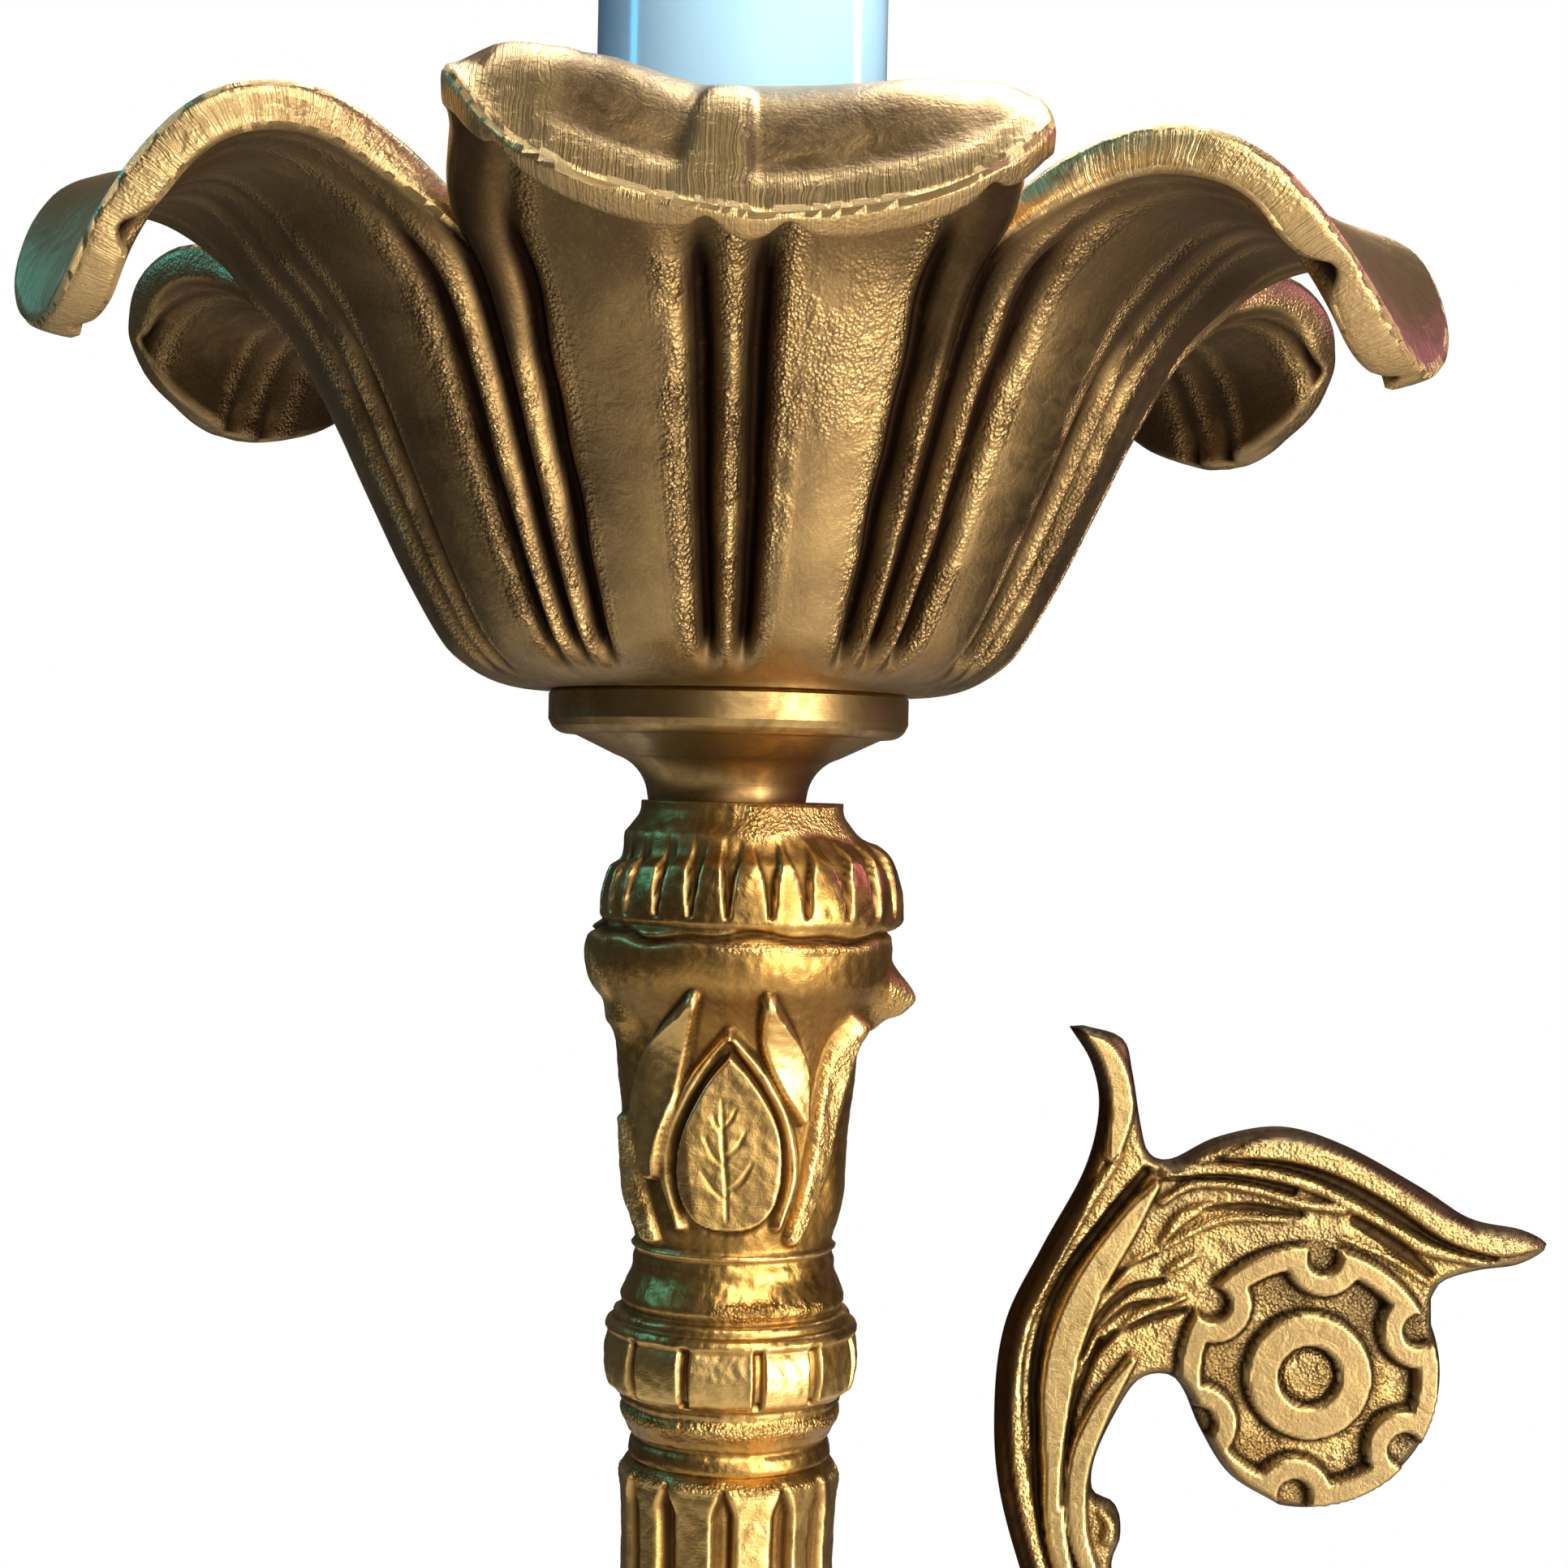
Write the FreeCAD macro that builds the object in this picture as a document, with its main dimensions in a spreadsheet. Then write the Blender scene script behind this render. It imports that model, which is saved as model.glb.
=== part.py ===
import FreeCAD, Part
import math
import os
import Sketcher
from FreeCAD import Placement, Rotation, Vector

doc = FreeCAD.newDocument("altar_candlestick")

# ---------------------------------------------------------------- driving dimensions, mm

DIMENSIONS = {
    # candle and its seat
    "candle_diameter": 25.0,
    "candle_length": 180.0,
    "candle_edge_round": 1.5,
    "wick_diameter": 1.6,
    "wick_length": 14.0,
    "wick_depth": 5.0,
    "candle_fit": 0.4,
    "socket_wall": 1.6,
    "socket_floor": 2.2,
    "socket_height": 20.0,
    "socket_washer_thick": 1.0,
    "pricket_flange_diameter": 14.0,
    "pricket_flange_thick": 1.5,
    "pricket_spike_diameter": 5.0,
    "pricket_spike_height": 26.0,
    "pricket_barrel_diameter": 9.0,
    # the stack on the tie rod, from the floor up
    "foot_height": 12.0,
    "dome_height": 52.0,
    "neck_height": 30.0,
    "lower_knop_height": 34.0,
    "ring_height": 14.0,
    "ring_play": 0.3,
    "washer_thick": 0.8,
    "shaft_height": 51.4,
    "upper_stem_height": 56.2,
    "collar_height": 9.3,
    "rod_diameter": 6.0,
    "rod_clearance": 0.3,
    # foot
    "base_radius": 73.0,
    "moulding_height": 6.0,
    "dome_wall": 4.0,
    "foot_circle_radius": 58.0,
    "foot_radius": 10.0,
    "pad_radius": 7.0,
    "pad_thick": 1.6,
    # lily cup
    "petal_count": 6,
    "cup_wall": 3.6,
    "cup_floor": 3.4,
    # stem
    "stem_offset": 1.7,
    "melon_count": 12,
    "gouge_count": 24,
    "facet_count": 12,
    "leaf_count": 4,
    "flute_count": 12,
    # scroll arm
    "arm_thick": 5.6,
    "rosette_radius": 11.2,
    "rivet_diameter": 3.0,
    "pin_diameter": 2.5,
    "pin_length": 5.0,
    "pin_circle_radius": 11.0,
}

sheet = doc.addObject("Spreadsheet::Sheet", "Sizes")
for row, (alias, amount) in enumerate(DIMENSIONS.items(), start=1):
    sheet.set("A%d" % row, alias)
    sheet.set("B%d" % row, repr(amount))
    sheet.setAlias("B%d" % row, alias)
doc.recompute()


class Size:
    """A length, kept with the sheet expression that it comes from."""

    def __init__(self, value, text):
        self.value = float(value)
        self.text = text

    def __add__(self, other):
        other = as_size(other)
        return Size(self.value + other.value, "(%s + %s)" % (self.text, other.text))

    def __sub__(self, other):
        other = as_size(other)
        return Size(self.value - other.value, "(%s - %s)" % (self.text, other.text))

    def __mul__(self, factor):
        return Size(self.value * factor, "(%s * %r)" % (self.text, float(factor)))

    def __neg__(self):
        return self * -1.0

    def __rsub__(self, other):
        return as_size(other) - self

    __radd__ = __add__
    __rmul__ = __mul__


def as_size(number):
    return number if isinstance(number, Size) else Size(number, repr(float(number)))


def size(alias):
    return Size(sheet.get(alias), "Sizes." + alias)


def count(alias):
    return int(sheet.get(alias))


# ---------------------------------------------------------------- heights of the stack

rod_radius = size("rod_diameter") * 0.5
hole_radius = rod_radius + size("rod_clearance")
dome_seat = size("foot_height")
neck_seat = dome_seat + size("dome_height")
knop_seat = neck_seat + size("neck_height")
ring_seat = knop_seat + size("lower_knop_height")
spool_height = size("ring_height") + size("washer_thick") * 2 + size("ring_play") * 2
shaft_seat = ring_seat + spool_height
stem_seat = shaft_seat + size("shaft_height")
collar_seat = stem_seat + size("upper_stem_height")
cup_seat = collar_seat + size("collar_height")
socket_washer_seat = cup_seat + size("cup_floor")
socket_seat = socket_washer_seat + size("socket_washer_thick")
flange_seat = socket_seat + size("socket_floor")
candle_seat = flange_seat + size("pricket_flange_thick") + size("rod_clearance")


# ---------------------------------------------------------------- helpers

def origin_feature(body, role):
    """One of the body's own planes or axes."""
    return [feature for feature in body.Origin.OriginFeatures if feature.Role == role][0]


def new_body(label):
    body = doc.addObject("PartDesign::Body", label)
    body.Label = label
    return body


def new_sketch(body, name, role):
    sketch = body.newObject("Sketcher::SketchObject", name)
    sketch.AttachmentSupport = [(origin_feature(body, role), "")]
    sketch.MapMode = "FlatFace"
    return sketch


def place(thing, x=0.0, y=0.0, z=0.0):
    """Puts a sub-part at its seat, with each coordinate bound to the sheet."""
    for axis, amount in (("x", x), ("y", y), ("z", z)):
        thing.setExpression("Placement.Base." + axis, as_size(amount).text)


def bind(sketch, kind, geometry, point, amount):
    """Fixes one coordinate of a sketch point, measured from the sketch's origin."""
    amount = as_size(amount)
    index = sketch.addConstraint(Sketcher.Constraint(kind, -1, 1, geometry, point, amount.value))
    sketch.setExpression("Constraints[%d]" % index, amount.text)


def bind_radius(sketch, geometry, start, end):
    """Fixes an arc's radius from its chord and its bulge."""
    across = as_size(end[0]) - start[0]
    along = as_size(end[1]) - start[1]
    per_chord = (1.0 + end[2] ** 2) / (4.0 * abs(end[2]))
    chord = math.hypot(across.value, along.value)
    index = sketch.addConstraint(Sketcher.Constraint("Radius", geometry, chord * per_chord))
    sketch.setExpression("Constraints[%d]" % index,
                         "sqrt(%s ^ 2 + %s ^ 2) * %r" % (across.text, along.text, per_chord))


def draw_outline(sketch, outline):
    """Draws a closed outline. Each step is (x, y) or (x, y, bulge): the bulge is the height of
    the arc that leads to the point, over half its chord, positive to the left of the travel."""
    corners = [Vector(as_size(step[0]).value, as_size(step[1]).value, 0) for step in outline]
    total = len(outline)
    for index, step in enumerate(outline):
        start = corners[index - 1]
        end = corners[index]
        bulge = step[2] if len(step) > 2 else 0.0
        if bulge:
            chord = end - start
            left = Vector(-chord.y, chord.x, 0)
            middle = (start + end) * 0.5 + left * (0.5 * bulge)
            sketch.addGeometry(Part.Arc(start, middle, end), False)
        else:
            sketch.addGeometry(Part.LineSegment(start, end), False)

    def ends(index):
        """The point numbers of a segment's start and end: an arc counts anticlockwise."""
        bulge = outline[index][2] if len(outline[index]) > 2 else 0.0
        return (2, 1) if bulge > 0 else (1, 2)

    for index in range(total):
        following = (index + 1) % total
        sketch.addConstraint(Sketcher.Constraint(
            "Coincident", index, ends(index)[1], following, ends(following)[0]))
        bind(sketch, "DistanceX", index, ends(index)[1], outline[index][0])
        bind(sketch, "DistanceY", index, ends(index)[1], outline[index][1])
        if len(outline[index]) > 2 and outline[index][2]:
            bind_radius(sketch, index, outline[index - 1], outline[index])


def turned(label, outline, seat, offset=0.0):
    """A lathe-turned piece: its outline, (radius, height) from its own seat, spun about Z."""
    body = new_body(label)
    sketch = new_sketch(body, label + "_outline", "XZ_Plane")
    draw_outline(sketch, outline)
    spin = body.newObject("PartDesign::Revolution", label + "_turning")
    spin.Profile = sketch
    spin.ReferenceAxis = (sketch, ["V_Axis"])
    spin.Angle = 360.0
    body.Tip = spin
    place(body, x=offset, z=seat)
    doc.recompute()
    return body


def repeat_round(body, feature, name, times):
    """Repeats a feature round the body's own Z axis."""
    pattern = body.newObject("PartDesign::PolarPattern", name)
    pattern.Originals = [feature]
    pattern.Axis = (origin_feature(body, "Z_Axis"), [""])
    pattern.Angle = 360.0
    pattern.Occurrences = times
    body.Tip = pattern
    doc.recompute()


def cut_round(body, name, outline, width, times):
    """Cuts a slot of the given side outline, (radius, height), and repeats it round the piece."""
    before = body.Shape.Volume
    sketch = new_sketch(body, name + "_outline", "XZ_Plane")
    draw_outline(sketch, outline)
    pocket = body.newObject("PartDesign::Pocket", name)
    pocket.Profile = sketch
    pocket.Midplane = True
    pocket.setExpression("Length", as_size(width).text)
    doc.recompute()
    repeat_round(body, pocket, name + "_round", times)
    if body.Shape.Volume >= before:
        raise RuntimeError(name + " cuts nothing")


def add_round(body, name, outline, width, times):
    """Adds a rib of the given side outline, (radius, height), and repeats it round the piece."""
    sketch = new_sketch(body, name + "_outline", "XZ_Plane")
    draw_outline(sketch, outline)
    pad = body.newObject("PartDesign::Pad", name)
    pad.Profile = sketch
    pad.Midplane = True
    pad.setExpression("Length", as_size(width).text)
    doc.recompute()
    repeat_round(body, pad, name + "_round", times)


def washer(label, inner, outer, thick, seat):
    return turned(label, [(inner, 0), (outer, 0), (outer, thick), (inner, thick)], seat)


def hole_down(body, name, x, y, radius, depth):
    """Drills a round hole into the underside of a body, at its own height zero."""
    before = body.Shape.Volume
    sketch = new_sketch(body, name + "_outline", "XY_Plane")
    circle = sketch.addGeometry(Part.Circle(Vector(as_size(x).value, as_size(y).value, 0),
                                            Vector(0, 0, 1), as_size(radius).value), False)
    bind(sketch, "DistanceX", circle, 3, x)
    bind(sketch, "DistanceY", circle, 3, y)
    index = sketch.addConstraint(Sketcher.Constraint("Radius", circle, as_size(radius).value))
    sketch.setExpression("Constraints[%d]" % index, as_size(radius).text)
    pocket = body.newObject("PartDesign::Pocket", name)
    pocket.Profile = sketch
    pocket.Reversed = True
    pocket.setExpression("Length", as_size(depth).text)
    body.Tip = pocket
    doc.recompute()
    if body.Shape.Volume >= before:
        raise RuntimeError(name + " cuts nothing")
    return pocket


# ---------------------------------------------------------------- foot

foot_angles = [-90.0, 30.0, 150.0]
boss_height = 6.0
boss_radius = 4.2
screw_reach = 5.0
screw_radius = 2.0
screw_head_radius = 3.6
screw_head_height = 2.6
moulding_top = size("moulding_height")


def base_moulding():
    """The turned ring that edges the foot, drilled for the three foot screws."""
    outer = size("base_radius")
    body = turned("base_moulding", [
        (outer - 20.0, 0), (outer - 3.0, 0), (outer, 2.4, -0.45), (outer - 1.2, 4.6, -0.5),
        (outer - 3.2, moulding_top), (outer - 20.0, moulding_top)], dome_seat)
    drill_feet(body, moulding_top)
    return body


def drill_feet(body, depth):
    """Drills the three screw holes on the foot circle."""
    pocket = hole_down(body, "screw_hole", 0, -size("foot_circle_radius"), screw_radius, depth)
    repeat_round(body, pocket, "screw_holes", len(foot_angles))


def base_dome():
    """The hollow cast bell of the foot, with three screw bosses inside its edge."""
    outer = size("base_radius") - 5.0
    wall = size("dome_wall")
    top = size("dome_height") - moulding_top
    crown = top - 7.0
    body = turned("base_dome", [
        (outer - wall, 0), (outer, 0), (outer - 1.0, 3.0, -0.4), (outer - 3.0, 4.6),
        (outer - 4.5, 6.4, -0.3), (38.0, 20.0, 0.24), (23.5, 36.0, 0.16), (22.0, top - 4.0),
        (21.0, top), (hole_radius, top), (hole_radius, crown), (17.5, crown),
        (34.0, 17.5, -0.16), (outer - 9.5, 4.6, -0.24)], dome_seat + moulding_top)
    circle = size("foot_circle_radius")
    sketch = new_sketch(body, "boss_outline", "XY_Plane")
    boss = sketch.addGeometry(
        Part.Circle(Vector(0, -circle.value, 0), Vector(0, 0, 1), boss_radius), False)
    bind(sketch, "DistanceX", boss, 3, 0)
    bind(sketch, "DistanceY", boss, 3, -circle)
    sketch.addConstraint(Sketcher.Constraint("Radius", boss, boss_radius))
    pad = body.newObject("PartDesign::Pad", "boss")
    pad.Profile = sketch
    pad.Length = boss_height
    body.Tip = pad
    doc.recompute()
    repeat_round(body, pad, "bosses", len(foot_angles))
    drill_feet(body, screw_reach)
    return body


def base_neck():
    """The turned cove between the foot and the lower knop."""
    top = size("neck_height")
    return turned("base_neck", [
        (hole_radius, 0), (19.0, 0), (20.5, 2.0, -0.5), (19.0, 4.0, -0.5), (16.5, 5.0),
        (8.5, 18.0, 0.28), (8.5, 20.0), (12.5, 24.0, 0.3), (13.0, 26.5, -0.5), (12.0, 28.0),
        (10.5, top), (hole_radius, top)], neck_seat)


def lower_knop():
    """The cast melon knop, ribbed all round."""
    top = size("lower_knop_height")
    body = turned("lower_knop", [
        (hole_radius, 0), (10.5, 0), (11.5, 2.0, -0.4), (10.5, 4.0, -0.4), (9.6, 5.4),
        (18.0, 16.5, -0.3), (9.8, 27.6, -0.3), (11.5, 29.2), (12.4, 31.4, -0.5),
        (12.4, top), (hole_radius, top)], knop_seat)
    cut_round(body, "melon_groove", [
        (12.0, 6.0), (20.0, 6.0), (20.0, 27.0), (12.0, 27.0), (16.9, 16.5, -0.5)], 1.4, count("melon_count"))
    return body


# ---------------------------------------------------------------- ring and shaft

def ring_spool():
    return turned("ring_spool", [
        (hole_radius, 0), (8.5, 0), (8.5, spool_height), (hole_radius, spool_height)], ring_seat)


def ring_washers():
    """The two thin washers, one under the ring and one over it."""
    thick = size("washer_thick")
    lower = washer("washer_below", 8.6, 12.4, thick, ring_seat)
    upper = washer("washer_above", 8.6, 12.4, thick, shaft_seat - thick)
    pair = doc.addObject("Part::Compound", "ring_washers")
    pair.Links = [lower, upper]
    return pair


ring_centre = ring_seat + size("washer_thick") + size("ring_play") + size("ring_height") * 0.5
tongue_thick = 3.0
tongue_end = 21.0


def arm_ring():
    """The band round the spool, with the tongue that the scroll is riveted to."""
    band = size("ring_height")
    body = turned("arm_ring", [
        (8.8, -0.5 * band), (11.4, -0.5 * band), (12.4, -0.5 * band + 1.4), (12.4, 0.5 * band - 1.4),
        (11.4, 0.5 * band), (8.8, 0.5 * band)], ring_centre)
    sketch = new_sketch(body, "tongue_outline", "XZ_Plane")
    draw_outline(sketch, [(11.5, -3.6), (tongue_end, -3.6), (tongue_end, 3.6), (11.5, 3.6)])
    tongue = body.newObject("PartDesign::Pad", "tongue")
    tongue.Profile = sketch
    tongue.Midplane = True
    tongue.Length = tongue_thick
    body.Tip = tongue
    doc.recompute()
    drill_across(body, "rivet_hole")
    return body


rivet_places = [15.4, 18.6]


def drill_across(body, name):
    """Drills the two rivet holes through the tongue, along Y."""
    sketch = new_sketch(body, name + "_outline", "XZ_Plane")
    for along in rivet_places:
        width = size("rivet_diameter").value
        circle = sketch.addGeometry(Part.Circle(Vector(along, 0, 0), Vector(0, 0, 1), 0.5 * width), False)
        bind(sketch, "DistanceX", circle, 3, along)
        bind(sketch, "DistanceY", circle, 3, 0)
        index = sketch.addConstraint(Sketcher.Constraint("Diameter", circle, width))
        sketch.setExpression("Constraints[%d]" % index, "Sizes.rivet_diameter")
    pocket = body.newObject("PartDesign::Pocket", name)
    pocket.Profile = sketch
    pocket.Type = "ThroughAll"
    pocket.Midplane = True
    body.Tip = pocket
    doc.recompute()


def arm_rivets():
    """Two rivets with domed heads on both faces of the arm."""
    half = size("arm_thick").value * 0.5
    radius = size("rivet_diameter").value * 0.5
    rivets = []
    for along in rivet_places:
        shank = Part.makeCylinder(radius, 2 * half, Vector(along, -half, 0), Vector(0, 1, 0))
        heads = []
        for side in (-1, 1):
            ball = Part.makeSphere(2.0, Vector(along, side * (half - 0.9), 0))
            outside = Part.makeBox(6, 3, 6, Vector(along - 3, half if side > 0 else -half - 3, -3))
            heads.append(ball.common(outside))
        rivets.append(shank.fuse(heads).removeSplitter())
    group = doc.addObject("Part::Feature", "arm_rivets")
    group.Shape = Part.makeCompound(rivets)
    place(group, z=ring_centre)
    return group


def fluted_shaft():
    """The cast shaft above the ring: reeded, with a plain collar at its top."""
    top = size("shaft_height")
    body = turned("fluted_shaft", [
        (0, 0), (12.4, 0), (12.4, 2.2), (11.4, 4.2, -0.5), (9.6, 5.2), (9.4, 8.0, 0.2),
        (9.2, top - 6.5), (9.4, top - 4.0), (9.4, top - 1.4), (8.5, top), (0, top)],
        shaft_seat, size("stem_offset"))
    hole_down(body, "rod_hole", -size("stem_offset"), 0, hole_radius, top)
    cut_round(body, "flute", [
        (8.3, 9.0), (11.0, 8.0), (11.0, top - 6.0), (8.3, top - 7.0)], 1.5, count("flute_count"))
    return body


def upper_stem():
    """The cast stem: rings, faceted band, waist, calyx of leaves and gouged knop."""
    top = size("upper_stem_height")
    body = turned("upper_stem", [
        (0, 0), (8.5, 0), (8.6, 1.4), (9.7, 3.0, -0.4), (9.2, 4.6, -0.4), (10.6, 6.0),
        (10.9, 9.4, -0.1), (10.6, 12.6, -0.1), (9.5, 14.0), (9.3, 15.8, -0.5), (8.5, 17.6, 0.3),
        (9.6, 22.5), (10.1, 33.0), (12.9, 42.6, 0.15), (13.1, 44.4), (12.5, 44.9), (13.1, 45.4),
        (13.1, 49.0, -0.15), (10.0, 53.4, -0.2), (8.9, 54.8), (8.7, top), (0, top)],
        stem_seat, size("stem_offset"))
    hole_down(body, "rod_hole", -size("stem_offset"), 0, hole_radius, top)
    cut_round(body, "knop_gouge", [
        (12.2, 46.4), (14.4, 46.4), (14.4, 53.6), (10.2, 52.2)], 0.9, count("gouge_count"))
    cut_round(body, "facet_groove", [
        (10.0, 6.6), (11.6, 6.0), (11.6, 13.0), (10.0, 12.2)], 0.6, count("facet_count"))
    add_round(body, "calyx_leaf", [
        (8.6, 18.4), (10.6, 22.0), (11.2, 33.0), (14.2, 37.6, 0.3), (13.4, 40.2), (11.4, 37.4, -0.3),
        (9.0, 37.0)], 3.4, count("leaf_count"))
    return body


# ---------------------------------------------------------------- scroll arm

def stroke(path):
    """A band of changing width along a path of (across, up, half width) stations, as a face in
    the XZ plane, bounded by one smooth curve each side."""
    spots = [Vector(x, 0, z) for x, z, half in path]
    left = []
    right = []
    for index, (x, z, half) in enumerate(path):
        ahead = spots[min(index + 1, len(spots) - 1)]
        behind = spots[max(index - 1, 0)]
        along = (ahead - behind).normalize()
        normal = Vector(-along.z, 0, along.x)
        left.append(spots[index] + normal * half)
        right.append(spots[index] - normal * half)
    edge_left = Part.BSplineCurve()
    edge_left.interpolate(left)
    edge_right = Part.BSplineCurve()
    edge_right.interpolate(right)
    wire = Part.Wire([edge_left.toShape(), Part.makeLine(left[-1], right[-1]),
                      edge_right.toShape().reversed(), Part.makeLine(right[0], left[0])])
    return Part.Face(wire)


def plate(face, thick):
    """Thickens a face of the XZ plane equally to both sides."""
    return face.translated(Vector(0, -0.5 * thick, 0)).extrude(Vector(0, thick, 0))


def disc(x, z, radius, thick):
    return Part.makeCylinder(radius, thick, Vector(x, -0.5 * thick, z), Vector(0, 1, 0))


# stations of the scroll's bands: across from the axis, up from the cup's joint, half width
SPINE = [(13.2, -115.7, 4.6), (21.0, -116.2, 4.4), (30.0, -112.5, 4.2), (37.0, -104.0, 4.1),
         (39.4, -94.0, 4.1), (37.2, -83.0, 4.2), (32.6, -72.5, 4.4), (29.4, -63.0, 4.5),
         (28.4, -54.0, 4.6), (29.8, -46.0, 5.4), (32.0, -39.5, 5.2), (34.2, -33.0, 3.4)]
HORN = [(33.2, -38.0, 3.8), (34.5, -31.0, 2.8), (34.6, -26.5, 1.9), (33.2, -22.2, 1.8), (30.4, -18.8, 0.4)]
ARCH = [(32.0, -40.0, 3.0), (36.5, -35.4, 4.4), (42.0, -32.6, 4.9), (48.5, -31.9, 4.7),
        (55.0, -34.4, 4.3), (61.0, -37.2, 3.2), (66.5, -37.0, 1.6), (71.3, -36.9, 0.4)]
WEB = [(31.0, -46.0, 4.6), (38.0, -42.0, 4.8), (45.0, -41.0, 3.0)]
BUD = [(29.0, -66.0, 2.0), (33.2, -61.6, 2.2), (35.2, -59.8, 0.6)]
ROSETTE = (51.0, -48.3)


def rosette():
    """The ribbon of the scroll's end, which dips round six notches, and a ring, on a sunken floor."""
    x, z = ROSETTE
    outer = size("rosette_radius").value
    thick = size("arm_thick").value
    notch_circle = outer - 0.8
    notches = []
    shoulders = []
    for lobe in range(6):
        angle = math.radians(60.0 * lobe + 24.0)
        spot = (x + notch_circle * math.cos(angle), z + notch_circle * math.sin(angle))
        notches.append(disc(spot[0], spot[1], 1.5, 2 * thick))
        shoulders.append(disc(spot[0], spot[1], 3.5, 2 * thick))
    floor = disc(x, z, outer, 0.66 * thick)
    ribbon = disc(x, z, outer, thick).cut(disc(x, z, outer - 2.0, 2 * thick).cut(shoulders))
    ring = disc(x, z, 5.0, thick).cut(disc(x, z, 2.7, 2 * thick))
    return floor.fuse([ribbon.cut(notches), ring]).removeSplitter()


def scroll_arm():
    """The flat cast scroll, slotted at its foot for the ring's tongue."""
    thick = size("arm_thick").value
    bands = [plate(stroke(path), thick) for path in (SPINE, HORN, ARCH, WEB, BUD)]
    body = bands[0].fuse(bands[1:])
    keep_out = disc(ROSETTE[0], ROSETTE[1], size("rosette_radius").value - 0.5, 2 * thick)
    body = body.cut(keep_out).fuse(rosette())
    foot = SPINE[0][1]
    slot = Part.makeBox(tongue_end - 10.0 + 0.2, tongue_thick, 20.0,
                        Vector(10.0, -0.5 * tongue_thick, foot - 10.0))
    body = body.cut(slot)
    for along in rivet_places:
        body = body.cut(disc(along, foot, size("rivet_diameter").value * 0.5, 2 * thick))
    arm = doc.addObject("Part::Feature", "scroll_arm")
    arm.Shape = body.removeSplitter()
    place(arm, z=ring_centre - foot)
    return arm


# ---------------------------------------------------------------- cup

def cup_collar():
    """The turned flange and cove that the cup stands on."""
    top = size("collar_height")
    body = turned("cup_collar", [
        (hole_radius, 0), (6.8, 0), (6.9, 0.6), (9.6, 3.8, 0.3), (13.4, 5.6), (15.2, 6.2, -0.3),
        (15.5, 6.8), (15.5, 9.0), (15.2, top), (hole_radius, top)], collar_seat)
    before = body.Shape.Volume
    sketch = new_sketch(body, "pin_outline", "XY_Plane")
    pin_width = size("pin_diameter").value
    pin = sketch.addGeometry(Part.Circle(Vector(0, size("pin_circle_radius").value, 0),
                                         Vector(0, 0, 1), 0.5 * pin_width), False)
    bind(sketch, "DistanceX", pin, 3, 0)
    bind(sketch, "DistanceY", pin, 3, size("pin_circle_radius"))
    index = sketch.addConstraint(Sketcher.Constraint("Diameter", pin, pin_width))
    sketch.setExpression("Constraints[%d]" % index, "Sizes.pin_diameter")
    sketch.AttachmentOffset = Placement(Vector(0, 0, top.value), Rotation())
    sketch.setExpression("AttachmentOffset.Base.z", top.text)
    pocket = body.newObject("PartDesign::Pocket", "pin_hole")
    pocket.Profile = sketch
    pocket.setExpression("Length", "Sizes.pin_length * 0.5")
    body.Tip = pocket
    doc.recompute()
    if body.Shape.Volume >= before:
        raise RuntimeError("the pin hole cuts nothing")
    return body


# stations of a petal along its midrib, on the underside: radius, height over the collar,
# slope in degrees, half width, and how far the margins stand over the midrib
PETAL = [(34.0, 22.5, 64.0, 17.0, 4.8), (36.9, 28.0, 62.0, 17.9, 5.0), (40.2, 32.8, 54.0, 18.5, 4.4),
         (44.2, 36.0, 28.0, 18.7, 2.6), (49.0, 37.0, -6.0, 18.8, 1.6), (53.8, 34.4, -42.0, 18.6, 1.4),
         (56.8, 31.0, -54.0, 14.5, 1.0), (58.8, 27.8, -60.0, 7.5, 0.4), (60.0, 25.6, -60.0, 0.8, 0.0)]


def petal():
    """One flared petal, lofted through its stations, pointing along +X."""
    thick = size("cup_wall").value
    sections = []
    for radius, height, slope, half, dish in PETAL:
        angle = math.radians(slope)
        inward = Vector(-math.sin(angle), 0, math.cos(angle))
        middle = Vector(radius, 0, height)
        edge = middle + inward * dish
        low = [edge + Vector(0, -half, 0), middle, edge + Vector(0, half, 0)]
        high = [point + inward * thick for point in low]
        sections.append(Part.Wire([
            Part.Arc(low[0], low[1], low[2]).toShape() if dish else Part.makeLine(low[0], low[2]),
            Part.makeLine(low[2], high[2]),
            Part.Arc(high[2], high[1], high[0]).toShape() if dish else Part.makeLine(high[2], high[0]),
            Part.makeLine(high[0], low[0])]))
    return Part.makeLoft(sections, True, False)


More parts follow.
